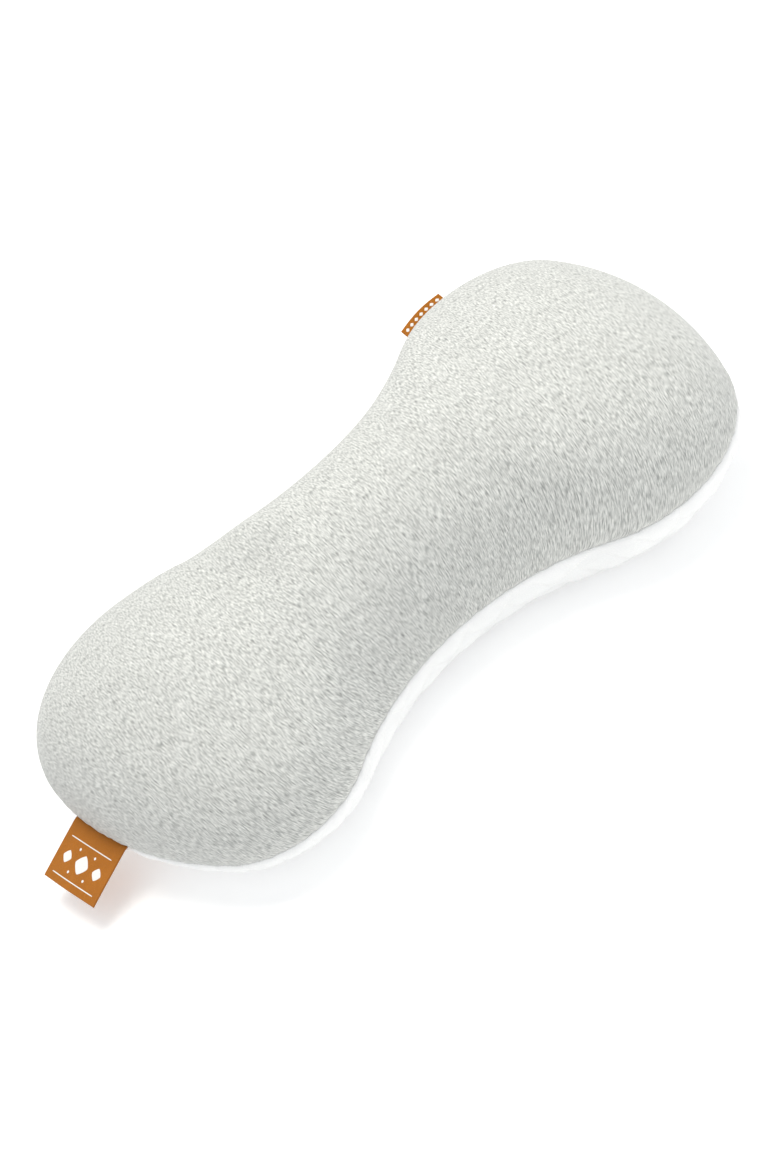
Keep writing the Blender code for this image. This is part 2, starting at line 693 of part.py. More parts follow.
def make_tag(name, tag, on_end):
    """A ribbon folded double, its fold outwards, hinged just outside the seam."""
    outer = TAG_CLOTH + TAG_FOLD_GAP / 2
    inner = TAG_FOLD_GAP / 2
    root = TAG_ROOT_OUT - TAG_HINGE_OUT
    bend = tag["length"] - outer
    turns = np.linspace(math.pi / 2, -math.pi / 2, FOLD_STEPS + 1)
    outline = [(root, outer)]
    outline += [(bend + outer * math.cos(turn), outer * math.sin(turn)) for turn in turns]
    outline += [(root, -outer), (root, -inner)]
    outline += [(bend + inner * math.cos(turn), inner * math.sin(turn)) for turn in turns[::-1]]
    outline += [(root, inner)]
    half = tag["width"] / 2
    ribbon = extruded(name, outline, (0, 2), -half, half, "orange_tag")
    point, out = tag_place(tag, on_end)
    place = point + out * TAG_HINGE_OUT
    ribbon.location = (*place, seam_height_at(point[0]))
    heading = math.atan2(out[1], out[0])
    ribbon.rotation_euler = (0.0, -math.radians(tag["lift_deg"]), heading)


# ---------------------------------------------------------------- build

for old in list(bpy.data.objects):
    bpy.data.objects.remove(old, do_unlink=True)

make_top_panel()
make_bottom_panel()
make_bowl_layer("quilt_wadding", WADDING_START, WADDING, "white_wadding")
make_bowl_layer("quilt_backing", BACKING_START, BACKING, "white_quilt")
make_overlock()
make_care_label()
make_cushion()
make_coils_and_stops()
make_tapes()
make_pull(make_slider())
make_tag("end_tag", END_TAG, True)
make_tag("side_tag", SIDE_TAG, False)
bpy.context.view_layer.update()
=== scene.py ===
import math

import bmesh
import bpy
import numpy as np
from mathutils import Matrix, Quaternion, Vector


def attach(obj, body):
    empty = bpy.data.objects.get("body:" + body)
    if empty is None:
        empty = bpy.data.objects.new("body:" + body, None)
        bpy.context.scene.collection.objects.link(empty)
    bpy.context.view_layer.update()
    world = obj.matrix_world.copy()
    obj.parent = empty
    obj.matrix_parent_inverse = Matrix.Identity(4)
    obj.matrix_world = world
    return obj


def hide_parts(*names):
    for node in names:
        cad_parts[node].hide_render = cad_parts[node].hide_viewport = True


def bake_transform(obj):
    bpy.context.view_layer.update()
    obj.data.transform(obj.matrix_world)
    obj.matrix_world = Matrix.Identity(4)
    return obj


# Peanut-shaped nursing pillow with a zipped two-sided cover. +X runs along it, +Y to its far side
# and +Z up. Values are in metres and degrees.
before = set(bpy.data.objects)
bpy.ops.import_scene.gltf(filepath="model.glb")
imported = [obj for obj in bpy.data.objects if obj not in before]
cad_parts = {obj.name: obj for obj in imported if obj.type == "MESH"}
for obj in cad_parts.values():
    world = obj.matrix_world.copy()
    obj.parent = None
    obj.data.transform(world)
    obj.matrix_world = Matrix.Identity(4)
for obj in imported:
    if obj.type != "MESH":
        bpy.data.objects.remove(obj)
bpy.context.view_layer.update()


# ---------------------------------------------------------------- floor, lights and camera
# A pale floor under soft light: a large warm lamp overhead, a weak cool one at the near right and
# an even sky. The camera looks down on the near side and is rolled, so the pillow lies slanting.

AIM = Vector((-0.0112, -0.0207, 0.060))
AZIMUTH_DEG, ELEVATION_DEG, ROLL_DEG = -13.55, 39.97, 32.44
CAMERA_DISTANCE, LENS_MM, SENSOR_MM = 1.8, 73.4, 36.0

azimuth, elevation = math.radians(AZIMUTH_DEG), math.radians(ELEVATION_DEG)
back = Vector((math.sin(azimuth) * math.cos(elevation),
               -math.cos(azimuth) * math.cos(elevation), math.sin(elevation)))
camera_data = bpy.data.cameras.new("camera")
camera_data.lens = LENS_MM
camera_data.sensor_width = SENSOR_MM


def new_object(name, data):
    """An object that holds this data, at the origin of the scene."""
    item = bpy.data.objects.new(name, data)
    bpy.context.scene.collection.objects.link(item)
    return item


camera = new_object("camera", camera_data)
camera.location = AIM + back * CAMERA_DISTANCE
camera.rotation_mode = "QUATERNION"
camera.rotation_quaternion = ((-back).to_track_quat("-Z", "Y")
                              @ Quaternion((0, 0, 1), -math.radians(ROLL_DEG)))
bpy.context.scene.camera = camera
bpy.context.scene.view_settings.view_transform = "Standard"


def add_node(tree, kind, inputs=None, **settings):
    """Add a shader node. An input that is given a socket is linked, and any other value is set."""
    node = tree.nodes.new(kind)
    for name, value in settings.items():
        setattr(node, name, value)
    for name, value in (inputs or {}).items():
        if isinstance(value, bpy.types.NodeSocket):
            tree.links.new(value, node.inputs[name])
        else:
            node.inputs[name].default_value = value
    return node


def new_material(name, **sockets):
    """A material with a Principled shader whose even values are set straight on its sockets."""
    material = bpy.data.materials.new(name)
    material.use_nodes = True
    shader = material.node_tree.nodes["Principled BSDF"]
    for socket, value in sockets.items():
        shader.inputs[socket.replace("_", " ")].default_value = value
    return material, material.node_tree, shader


def area_lamp(name, place, size, power, colour):
    """A square lamp that faces the middle of the pillow."""
    lamp = bpy.data.lights.new(name, "AREA")
    lamp.size, lamp.energy, lamp.color = size, power, colour
    holder = new_object(name, lamp)
    holder.location = place
    holder.rotation_mode = "QUATERNION"
    holder.rotation_quaternion = (AIM - Vector(place)).to_track_quat("-Z", "Y")


area_lamp("high_lamp", (0.35, 0.40, 2.10), 1.2, 31.0, (1.0, 0.978, 0.915))
area_lamp("near_lamp", (0.9, -1.7, 1.0), 1.6, 2.0, (0.93, 0.97, 1.0))
SKY_COLOUR, SKY_STRENGTH = (0.968, 0.985, 1.0, 1.0), 0.76
sky = bpy.data.worlds.new("sky")
sky.use_nodes = True
sky.node_tree.nodes["Background"].inputs["Color"].default_value = SKY_COLOUR
sky.node_tree.nodes["Background"].inputs["Strength"].default_value = SKY_STRENGTH
bpy.context.scene.world = sky

FLOOR_HALF, FLOOR_GLOW = 6.0, 0.26
floor_mesh = bpy.data.meshes.new("floor")
floor_mesh.from_pydata([(x * FLOOR_HALF, y * FLOOR_HALF, 0.0) for x, y in
                        ((-1, -1), (1, -1), (1, 1), (-1, 1))], [], [(0, 1, 2, 3)])
floor = new_object("floor", floor_mesh)
floor_paint, tree, shader = new_material(
    "floor_paint", Roughness=0.9, Specular_IOR_Level=0.2, Emission_Color=(1, 1, 1, 1),
    Emission_Strength=FLOOR_GLOW)
place = add_node(tree, "ShaderNodeTexCoord").outputs["Object"]
speckle = add_node(tree, "ShaderNodeTexNoise", {"Vector": place, "Scale": 30.0, "Detail": 3.0})
tone = add_node(tree, "ShaderNodeMixRGB", {
    "Fac": speckle.outputs["Fac"],
    "Color1": (0.86, 0.86, 0.86, 1), "Color2": (0.88, 0.88, 0.88, 1)})
tree.links.new(tone.outputs["Color"], shader.inputs["Base Color"])
floor_mesh.materials.append(floor_paint)


# ---------------------------------------------------------------- top panel
# One piece of heather-grey stretch jersey, cut to the peanut outline and pulled smooth over the
# cushion. Its edge is turned in and sewn to the underside all round, except along the zip.

LENGTH, WIDTH = 0.600, 0.325
FAR_SHOULDER_RADIUS = {"left": 0.098, "right": 0.088}
NEAR_SHOULDER_RADIUS = {"left": 0.085, "right": 0.104}
NEAR_SHOULDER_SETBACK = {"left": 0.026, "right": 0.020}
NEAR_SHOULDER_INSET = {"left": 0.013, "right": 0.0}
END_RADIUS = {"left": 0.300, "right": 0.298}
FAR_WAIST_HALF, NEAR_WAIST_HALF = 0.0913, 0.0962
SEAM_HEIGHT, SEAM_SLOPE_DEG = 0.048, 1.8
CROWN_HEIGHT = {"left": 0.135, "waist": 0.152, "right": 0.159}
CROWN_LEVEL_TO, CROWN_FULL_AT = 0.070, 0.190
CROWN_POWER = 2.2
SPINE_SHARE = 0.5
HALVINGS = 60
JERSEY, SEAM_GAP, SEAM_ALLOWANCE = 0.0012, 0.0003, 0.009
ZIP_LENGTH, ZIP_WINDOW = 0.236, 0.012
WINDOW_ROOM, WINDOW_RAMP, PLAIN_EDGE, FOLD_LIP = 0.004, 0.016, 0.025, 0.0005
SEAM_TUCK, TUCK_REACH, ZIP_TUCK_SHARE = 0.0018, 0.0022, 0.25
PUCKER_WAVES = ((0.0093, 0.4), (0.0141, 1.9), (0.0236, 3.3))
PUCKER_DEPTH, PUCKER_REACH = 0.00028, 0.008
TOP_COLUMNS, TOP_ROWS, TOP_INNER_ROWS = 240, 60, 12


def point_at_distances(first, first_distance, second, second_distance, side):
    """The point at two distances from two centres, left (+1) or right (-1) of the way there."""
    way = second - first
    length = np.hypot(*way)
    along = (first_distance ** 2 - second_distance ** 2 + length ** 2) / (2 * length)
    across = math.sqrt(first_distance ** 2 - along ** 2)
    return first + (way * along + side * across * np.array([-way[1], way[0]])) / length


def lobe(name, sign):
    """Centres of a lobe's far and near shoulders and of its end arc, which ends at LENGTH / 2."""
    far_radius, near_radius = FAR_SHOULDER_RADIUS[name], NEAR_SHOULDER_RADIUS[name]
    far = np.array([0.0, WIDTH / 2 - far_radius])
    near = np.array([-sign * NEAR_SHOULDER_SETBACK[name],
                     near_radius + NEAR_SHOULDER_INSET[name] - WIDTH / 2])
    end = point_at_distances(
        far, END_RADIUS[name] - far_radius, near, END_RADIUS[name] - near_radius, -sign)
    shift = np.array([sign * (LENGTH / 2 - END_RADIUS[name]) - end[0], 0.0])
    return far + shift, near + shift, end + shift


def touching_point(large, large_radius, small):
    """Where a circle touches another one that it wraps or runs into."""
    way = small - large
    return large + way / np.hypot(*way) * large_radius


def waist_arc(left, right, radii, side, half_width):
    """Centre and radius of the arc that touches both shoulders and leaves this half width, which
    grows with the radius, so the radius is found by halving its range."""
    smallest = (np.hypot(*(right - left)) - radii["left"] - radii["right"]) / 2
    low, high = smallest, smallest + 10 * LENGTH
    for _ in range(HALVINGS):
        radius = (low + high) / 2
        centre = point_at_distances(
            left, radius + radii["left"], right, radius + radii["right"], side)
        low, high = (radius, high) if side * centre[1] - radius < half_width else (low, radius)
    return centre, radius


def side_arcs(far_side):
    """One long side from left to right: centre, radius, bulge and right-hand end of each arc."""
    left_far, left_near, left_end = lobe("left", -1)
    right_far, right_near, right_end = lobe("right", 1)
    if far_side:
        left, right, radii = left_far, right_far, FAR_SHOULDER_RADIUS
        half_width, side = FAR_WAIST_HALF, 1
    else:
        left, right, radii = left_near, right_near, NEAR_SHOULDER_RADIUS
        half_width, side = NEAR_WAIST_HALF, -1
    waist, waist_radius = waist_arc(left, right, radii, side, half_width)
    return [
        (left_end, END_RADIUS["left"], 1, touching_point(left_end, END_RADIUS["left"], left)[0]),
        (left, radii["left"], 1, touching_point(waist, waist_radius, left)[0]),
        (waist, waist_radius, -1, touching_point(waist, waist_radius, right)[0]),
        (right, radii["right"], 1, touching_point(right_end, END_RADIUS["right"], right)[0]),
        (right_end, END_RADIUS["right"], 1, LENGTH)]


def edge_at(x, far_side):
    """Outline points and outward normals at each x, on the far or the near side."""
    side = 1 if far_side else -1
    points, normals = np.zeros((len(x), 2)), np.zeros((len(x), 2))
    start = -LENGTH
    for centre, radius, bulge, stop in side_arcs(far_side):
        here = (x >= start) & (x < stop)
        run = x[here] - centre[0]
        rise = side * bulge * np.sqrt(np.maximum(radius ** 2 - run ** 2, 0.0))
        points[here] = np.column_stack([x[here], centre[1] + rise])
        normals[here] = bulge * np.column_stack([run, rise]) / radius
        start = stop
    return points, normals


def ease(value):
    """A smooth step from 0 to 1: three squares less two cubes."""
    value = np.clip(value, 0.0, 1.0)
    return value * value * (3 - 2 * value)


def seam_height_at(x):
    """The seam is a straight slope in the side view."""
    return SEAM_HEIGHT + x * math.tan(math.radians(SEAM_SLOPE_DEG))


ZIP_CENTRE, FAR_WAIST_RADIUS = side_arcs(True)[2][:2]
ZIP_HALF_ANGLE = ZIP_LENGTH / 2 / FAR_WAIST_RADIUS
ZIP_HALF_RUN = FAR_WAIST_RADIUS * math.sin(ZIP_HALF_ANGLE)


class Stations:
    """Places round the outline, each with its spine point and its seam and crown height."""

    def __init__(self, x, far):
        far_edge, far_normal = edge_at(x, True)
        near_edge, near_normal = edge_at(x, False)
        self.edge = np.where(far[:, None], far_edge, near_edge)
        self.normal = np.where(far[:, None], far_normal, near_normal)
        spine_x = SPINE_SHARE * x
        spine_y = (edge_at(spine_x, True)[0][:, 1] + edge_at(spine_x, False)[0][:, 1]) / 2
        self.spine = np.column_stack([spine_x, spine_y])
        way = self.spine - self.edge
        self.inward = -way / np.sum(way * self.normal, axis=1)[:, None]
        self.seam = seam_height_at(x)
        reach = CROWN_FULL_AT - CROWN_LEVEL_TO
        left = ease((-x - CROWN_LEVEL_TO) / reach) * (CROWN_HEIGHT["left"] - CROWN_HEIGHT["waist"])
        right = ease((x - CROWN_LEVEL_TO) / reach) * (CROWN_HEIGHT["right"] - CROWN_HEIGHT["waist"])
        self.crown = CROWN_HEIGHT["waist"] + left + right
        beyond = np.where(far, np.abs(x - ZIP_CENTRE[0]) - ZIP_HALF_RUN, LENGTH) - WINDOW_ROOM
        self.window = ZIP_WINDOW / 2 * ease(1 - beyond / WINDOW_RAMP)
        self.sewn = ease((beyond - WINDOW_RAMP - PLAIN_EDGE) / WINDOW_RAMP)
        step = np.linalg.norm(np.roll(self.edge, -1, axis=0) - self.edge, axis=1)
        self.along = np.concatenate([[0.0], np.cumsum(step)[:-1]])
        self.girth = step.sum()


def loop_stations(columns):
    """Left end, near side, right end and far side, closer together in x towards the ends."""
    step = np.arange(2 * columns)
    column = np.where(step <= columns, step, 2 * columns - step)
    return Stations(-LENGTH / 2 * np.cos(math.pi * column / columns), step > columns)


def dome(stations, inset, drop, turn):
    """Upper surface over a grid of turns: the plan share is the cosine and the climb the sine of
    the turn, each to the power 2 / CROWN_POWER, from the edge at 0 to the spine at 90 degrees."""
    share = np.maximum(np.cos(turn), 0.0) ** (2 / CROWN_POWER)
    climb = np.sin(turn) ** (2 / CROWN_POWER)
    edge = stations.edge + np.asarray(inset)[..., None] * stations.inward
    plan = stations.spine + (edge - stations.spine) * share[..., None]
    height = stations.seam + (stations.crown - drop - stations.seam) * climb
    return np.concatenate([plan, height[..., None]], axis=-1)


def dome_turn(stations, drop, rise):
    """The turn at which the upper surface stands this far above the seam."""
    share = rise / (stations.crown - drop - stations.seam)
    return np.arcsin(np.clip(share, 0.0, 1.0) ** (CROWN_POWER / 2))


def seam_wave(stations):
    """Small puckers that the stitching draws up along the seam: a sum of whole waves round it."""
    wave = np.zeros(len(stations.seam))
    for length, phase in PUCKER_WAVES:
        turns = round(stations.girth / length)
        wave += np.sin(2 * math.pi * turns * stations.along / stations.girth + phase)
    return wave


def tucked(stations, grid, fold_rise, sign):
    """Draw the cloth in beside the seam. The tuck and the puckers fade exponentially with height,
    and both are slight along the zip."""
    height = np.maximum(sign * (grid[..., 2] - stations.seam) - fold_rise, 0.0)
    held = ZIP_TUCK_SHARE + (1 - ZIP_TUCK_SHARE) * stations.sewn
    inset = SEAM_TUCK * held * np.exp(-height / TUCK_REACH)
    pucker = PUCKER_DEPTH * (1 + seam_wave(stations)) * stations.sewn
    inset = inset + pucker * np.exp(-height / PUCKER_REACH)
    result = grid.copy()
    result[..., :2] += inset[..., None] * stations.inward
    return result


def upward_normals(grid, sign):
    """Unit normals of a grid of rings, from the cross product of its two differences; the sign
    turns them upwards. The last row is a level ridge, so its normals point straight up."""
    round_it = np.roll(grid, -1, axis=1) - np.roll(grid, 1, axis=1)
    normal = sign * np.cross(round_it, np.gradient(grid, axis=0))
    normal /= np.maximum(np.linalg.norm(normal, axis=2, keepdims=True), 1e-12)
    normal[-1] = (0, 0, 1)
    return normal


def unrolled(stations, grid):
    """Cloth coordinates: from the spine point towards the edge, by the length along the surface."""
    step = np.linalg.norm(np.diff(grid, axis=0), axis=2)
    run = np.concatenate([np.cumsum(step[::-1], axis=0)[::-1], np.zeros((1, grid.shape[1]))])
    way = stations.edge - stations.spine
    way = way / np.linalg.norm(way, axis=1, keepdims=True)
    return stations.spine + way * run[..., None]


def cubic_weights(fine, coarse, closed):
    """Catmull-Rom weights that carry values on a coarse row of points to a finer one."""
    at = np.linspace(0, coarse - (0 if closed else 1), fine, endpoint=not closed)
    distance = at[:, None] - np.arange(coarse)[None, :]
    if closed:
        distance = (distance + coarse / 2) % coarse - coarse / 2
    far = np.abs(distance)
    near_part = 1.5 * far ** 3 - 2.5 * far ** 2 + 1
    far_part = -0.5 * far ** 3 + 2.5 * far ** 2 - 4 * far + 2
    weights = np.where(far < 1, near_part, np.where(far < 2, far_part, 0.0))
    return weights / weights.sum(axis=1, keepdims=True)


def link_mesh(name, points, faces, body, material, uv=None):
    """A smooth mesh piece in its place, with one material, that rides on a body of the frame."""
    mesh = bpy.data.meshes.new(name)
    mesh.from_pydata(np.asarray(points).tolist(), [], [list(face) for face in faces])
    mesh.shade_smooth()
    if uv is not None:
        corner = np.empty(len(mesh.loops), dtype=np.int64)
        mesh.loops.foreach_get("vertex_index", corner)
        layer = mesh.uv_layers.new(name="UVMap")
        layer.data.foreach_set("uv", np.asarray(uv)[corner].astype(np.float32).ravel())
    mesh.materials.append(material)
    piece = new_object(name, mesh)
    if body is not None:
        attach(piece, body)
    return piece


def ring_faces(ring):
    """Four-sided faces between each ring of point numbers and the next ring."""
    low, high = ring[:-1], ring[1:]
    return np.stack([low, np.roll(low, -1, axis=1), np.roll(high, -1, axis=1), high],
                    axis=-1).reshape(-1, 4)


def shell_mesh(rings, first_ridge, last_ridge, upward):
    """Points and faces of a closed shell through rings, from one ridge line out and home again.

    Rings run anticlockwise from above; a ridge has one point for each column of stations."""
    rows, count = rings.shape[:2]
    columns = count // 2
    ring = np.arange(rows * count).reshape(rows, count)
    column = np.minimum(np.arange(count), count - np.arange(count))
    first = rows * count + column
    last = rows * count + columns + 1 + column
    faces = np.concatenate([
        ring_faces(ring)[:, ::-1],
        np.stack([ring[0], np.roll(ring[0], -1), np.roll(first, -1), first], axis=-1),
        np.stack([last, np.roll(last, -1), np.roll(ring[-1], -1), ring[-1]], axis=-1)])
    points = np.concatenate([rings.reshape(-1, 3), first_ridge[:columns + 1],
                             last_ridge[:columns + 1]])
    return points, faces if upward else faces[:, ::-1]


def shell_uv(cloth, rows):
    """Cloth coordinates of a shell: outer rings, one place for all that is turned in, ridges."""
    columns = cloth.shape[1] // 2
    return np.concatenate([cloth[:-1][::-1].reshape(-1, 2), np.tile(cloth[0], (2 + rows, 1)),
                           np.tile(cloth[-1][:columns + 1], (2, 1))])


def ring_turns(first_turn, rows, power=1.25):
    """Rows of turns from the seam to just short of the spine, closer together by the seam."""
    share = (np.arange(rows) / rows) ** power
    return first_turn + (math.pi / 2 - first_turn) * share[:, None]


SWELL_COLUMNS, SWELL_ROWS, SWELL_BOWL_ROWS = 90, 18, 6
SWELL_START, SWELL_PRESSURE, SWELL_FRAMES = 0.005, 4.0, 20
SWELL_BOWL_POWER, SWELL_MASS, SWELL_BENDING, SWELL_QUALITY = 0.7, 0.25, 0.6, 6
SWELL_CAP, SWELL_FADE, EVENING_ROUNDS = 0.0022, 0.03, 14


def simulated_swell():
    """How far a stuffed cover stands off its even shape, on a grid of rows and stations.

    A slightly smaller copy of the cover is blown up as cloth with its seam held; what is left after
    the even part of the swelling is taken away, capped, is the relief."""
    stations = loop_stations(SWELL_COLUMNS)
    count = 2 * SWELL_COLUMNS
    upper = dome(stations, SWELL_START, SWELL_START, ring_turns(np.zeros(count), SWELL_ROWS))
    crest = dome(stations, SWELL_START, SWELL_START, np.full(count, math.pi / 2))
    fall = np.linspace(1, 0, SWELL_BOWL_ROWS + 1)[:-1, None, None]
    floor_ring = np.concatenate([stations.spine, np.full((count, 1), SWELL_START)], axis=1)
    lower = upper[:1] + (floor_ring - upper[:1]) * (1 - fall) ** SWELL_BOWL_POWER
    rings = np.concatenate([upper[::-1], lower[1:]])
    points, faces = shell_mesh(rings, crest, floor_ring, True)
    body = link_mesh("swell", points, faces, None, jersey_cloth)
    held = body.vertex_groups.new(name="held")
    seam_start = (SWELL_ROWS - 1) * count
    last = len(rings) * count
    held.add(list(range(seam_start, last)), 1.0, "REPLACE")
    held.add(list(range(last + SWELL_COLUMNS + 1, len(points))), 1.0, "REPLACE")
    cloth = body.modifiers.new("cloth", "CLOTH")
    cloth.settings.quality = SWELL_QUALITY
    cloth.settings.mass = SWELL_MASS
    cloth.settings.bending_stiffness = SWELL_BENDING
    cloth.settings.vertex_group_mass = "held"
    cloth.settings.use_pressure = True
    cloth.settings.uniform_pressure_force = SWELL_PRESSURE
    cloth.settings.effector_weights.gravity = 0.0
    cloth.point_cache.frame_start, cloth.point_cache.frame_end = 1, SWELL_FRAMES
    for step in range(1, SWELL_FRAMES + 1):
        bpy.context.scene.frame_set(step)
    blown = body.evaluated_get(bpy.context.evaluated_depsgraph_get()).to_mesh()
    after = np.empty(len(points) * 3)
    blown.vertices.foreach_get("co", after)
    bpy.data.objects.remove(body, do_unlink=True)
    bpy.context.scene.frame_set(1)
    moved = after.reshape(-1, 3) - points
    grid = np.concatenate([rings[:SWELL_ROWS][::-1], crest[None]])
    column = np.minimum(np.arange(count), count - np.arange(count))
    shift = np.concatenate([moved[:SWELL_ROWS * count].reshape(SWELL_ROWS, count, 3)[::-1],
                            moved[last + column][None]])
    relief = np.sum(shift * upward_normals(grid, -1), axis=2)
    even = relief.copy()
    for _ in range(EVENING_ROUNDS):
        even = (np.roll(even, 1, axis=1) + 2 * even + np.roll(even, -1, axis=1)) / 4
        even[1:-1] = (even[:-2] + 2 * even[1:-1] + even[2:]) / 4
    return SWELL_CAP * np.tanh((relief - even) / SWELL_CAP)


jersey_cloth, tree, shader = new_material(
    "heather_jersey", Roughness=0.92, Sheen_Weight=0.22, Sheen_Roughness=0.45,
    Specular_IOR_Level=0.25)
cloth_place = add_node(tree, "ShaderNodeUVMap", uv_map="UVMap").outputs["UV"]


def cloth_noise(tree, place, across, along, detail=2.0, offset=0.0):
    """Noise with cells of the given width and length, in metres, on the cloth coordinates."""
    scaled = add_node(tree, "ShaderNodeMapping", {
        "Vector": place, "Scale": (1 / across, 1 / along, 1.0), "Location": (offset, offset, 0.0)})
    noise = add_node(tree, "ShaderNodeTexNoise", {
        "Vector": scaled.outputs["Vector"], "Scale": 1.0, "Detail": detail, "Roughness": 0.55},
        noise_dimensions="2D")
    return noise.outputs["Fac"]


def ramp(tree, value, stops):
    """A colour ramp through (place, colour) stops; a plain number is a shade of grey."""
    node = add_node(tree, "ShaderNodeValToRGB", {"Fac": value})
    while len(node.color_ramp.elements) < len(stops):
        node.color_ramp.elements.new(0.5)
    for element, (place, colour) in zip(node.color_ramp.elements, stops):
        element.position = place
        element.color = (colour,) * 3 + (1,) if isinstance(colour, float) else (*colour, 1)
    return node.outputs["Color"]


def mixed(tree, kind, amount, first, second):
    """Two colours mixed by a blend type."""
    return add_node(tree, "ShaderNodeMixRGB", {"Fac": amount, "Color1": first, "Color2": second},
                    blend_type=kind).outputs["Color"]


def painted(tree, shader, colour, height, distance, strength=1.0):
    """Give a shader its colour, and a bump from a height of 0 to 1 that stands for a distance."""
    tree.links.new(colour, shader.inputs["Base Color"])
    bump = add_node(tree, "ShaderNodeBump", {
        "Height": height, "Distance": distance, "Strength": strength})
    tree.links.new(bump.outputs["Normal"], shader.inputs["Normal"])


streaks = cloth_noise(tree, cloth_place, 0.0010, 0.0060, detail=1.0)
fine_streaks = cloth_noise(tree, cloth_place, 0.0007, 0.0036, offset=31.0)
patches = cloth_noise(tree, cloth_place, 0.014, 0.030, offset=7.0)
slubs = cloth_noise(tree, cloth_place, 0.0011, 0.007, detail=0.0, offset=57.0)
yarn = ramp(tree, streaks, [(0.28, (0.490, 0.500, 0.484)), (0.48, (0.690, 0.698, 0.670)),
                            (0.70, (0.820, 0.824, 0.792))])
yarn = mixed(tree, "MULTIPLY", 0.9, yarn, ramp(tree, fine_streaks, [(0.32, 0.66), (0.60, 1.0)]))
yarn = mixed(tree, "MULTIPLY", 0.5, yarn, ramp(tree, patches, [(0.35, 0.90), (0.65, 1.0)]))
yarn = mixed(tree, "MULTIPLY", 0.6, yarn, ramp(tree, slubs, [(0.20, 0.50), (0.32, 1.0)]))
WALE = 0.0009
wales = add_node(tree, "ShaderNodeTexWave", {
    "Vector": add_node(tree, "ShaderNodeMapping", {
        "Vector": cloth_place, "Scale": (1 / WALE, 1 / WALE, 1.0)}).outputs["Vector"],
    "Scale": 0.5, "Distortion": 1.2, "Detail": 1.0, "Detail Scale": 0.6})
knit = mixed(tree, "MIX", 0.6, wales.outputs["Color"], fine_streaks)
painted(tree, shader, yarn, knit, 0.00022, 0.8)

STREAK_TURN_DEG, STREAK_TURN_FROM, STREAK_TURN_TO = 4.0, -0.12, 0.16


def streak_coordinates(cloth):
    """Turn the streaks a little over the right lobe, where the jersey lies askew: a shear."""
    turn = ease((cloth[..., 0] - STREAK_TURN_FROM) / (STREAK_TURN_TO - STREAK_TURN_FROM))
    lean = np.tan(np.radians(STREAK_TURN_DEG) * turn)
    return np.stack([cloth[..., 0] - lean * cloth[..., 1], cloth[..., 1]], axis=-1)


stations = loop_stations(TOP_COLUMNS)
fold_rise = SEAM_GAP / 2 + stations.window
allowance = (JERSEY + FOLD_LIP) + (SEAM_ALLOWANCE - JERSEY - FOLD_LIP) * stations.sewn
turns = ring_turns(dome_turn(stations, 0.0, fold_rise), TOP_ROWS)
turns = np.concatenate([turns, np.full((1, 2 * TOP_COLUMNS), math.pi / 2)])
outer = dome(stations, 0.0, 0.0, turns)
swell = simulated_swell()
swell = cubic_weights(TOP_ROWS + 1, SWELL_ROWS + 1, False) @ swell
swell = swell @ cubic_weights(2 * TOP_COLUMNS, 2 * SWELL_COLUMNS, True).T
swell[-1] = (swell[-1] + np.roll(swell[-1][::-1], 1)) / 2
swell *= ease((outer[..., 2] - stations.seam) / SWELL_FADE)
outer += swell[..., None] * upward_normals(outer, -1)
outer = tucked(stations, outer, fold_rise, 1)
top_cloth = streak_coordinates(unrolled(stations, outer))
inner_turns = ring_turns(dome_turn(stations, JERSEY, fold_rise + JERSEY), TOP_INNER_ROWS)
inner = dome(stations, JERSEY + SEAM_TUCK * stations.sewn, JERSEY + SWELL_CAP, inner_turns)


def fold_ring(stations, inset, rise):
    """A ring in the seam allowance, this far in from the outline and above the seam."""
    plan = stations.edge + inset[:, None] * stations.inward
    return np.column_stack([plan, stations.seam + rise])


folds = np.stack([fold_ring(stations, allowance, fold_rise),
                  fold_ring(stations, allowance, fold_rise + JERSEY)])
rings = np.concatenate([outer[:-1][::-1], folds, inner])
inner_crest = dome(stations, 0.0, JERSEY + SWELL_CAP, np.full(2 * TOP_COLUMNS, math.pi / 2))
points, faces = shell_mesh(rings, outer[-1], inner_crest, True)
cover_top = link_mesh("cover_top", points, faces, "pillow", jersey_cloth,
                      shell_uv(top_cloth, TOP_INNER_ROWS))
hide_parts("cover_top_panel")


# ---------------------------------------------------------------- quilted underside
# White face cloth quilted through its wadding in diamonds, about 27 mm from line to line. It forms
# the low band under the seam and the flat that the pillow rests on.

REST_SHARE = 0.42
FACE_CLOTH = 0.0008
QUILT_PITCH, QUILT_GROOVE, QUILT_GROOVE_HALF, QUILT_PUFF = 0.027, 0.0012, 0.0030, 0.0005
GROOVE_POWER, QUILT_FADE = 1.6, 0.010
QUILT_COLUMNS, QUILT_ROWS, FLAT_ROWS, QUILT_INNER_ROWS, FLAT_INNER_ROWS = 400, 50, 34, 10, 3


def bowl(stations, inset, base, step):
    """Lower surface over steps from 0 to 2. Up to 1 the step is a quarter turn from the edge to the
    rim of the flat: share REST_SHARE + (1 - REST_SHARE) cosine, height falling as the sine. From 1
    to 2 the share shrinks evenly to 0 on the flat."""
    turn = np.minimum(step, 1.0) * math.pi / 2
    share = REST_SHARE + (1 - REST_SHARE) * np.cos(turn)
    share = np.where(step > 1, REST_SHARE * (2 - step), share)
    edge = stations.edge + np.asarray(inset)[..., None] * stations.inward
    plan = stations.spine + (edge - stations.spine) * share[..., None]
    height = stations.seam - (stations.seam - base) * np.sin(turn)
    return np.concatenate([plan, height[..., None]], axis=-1)


def bowl_step(stations, base, fall):
    """The step at which the lower surface lies this far below the seam."""
    return np.arcsin(np.clip(fall / (stations.seam - base), 0, 1)) / (math.pi / 2)


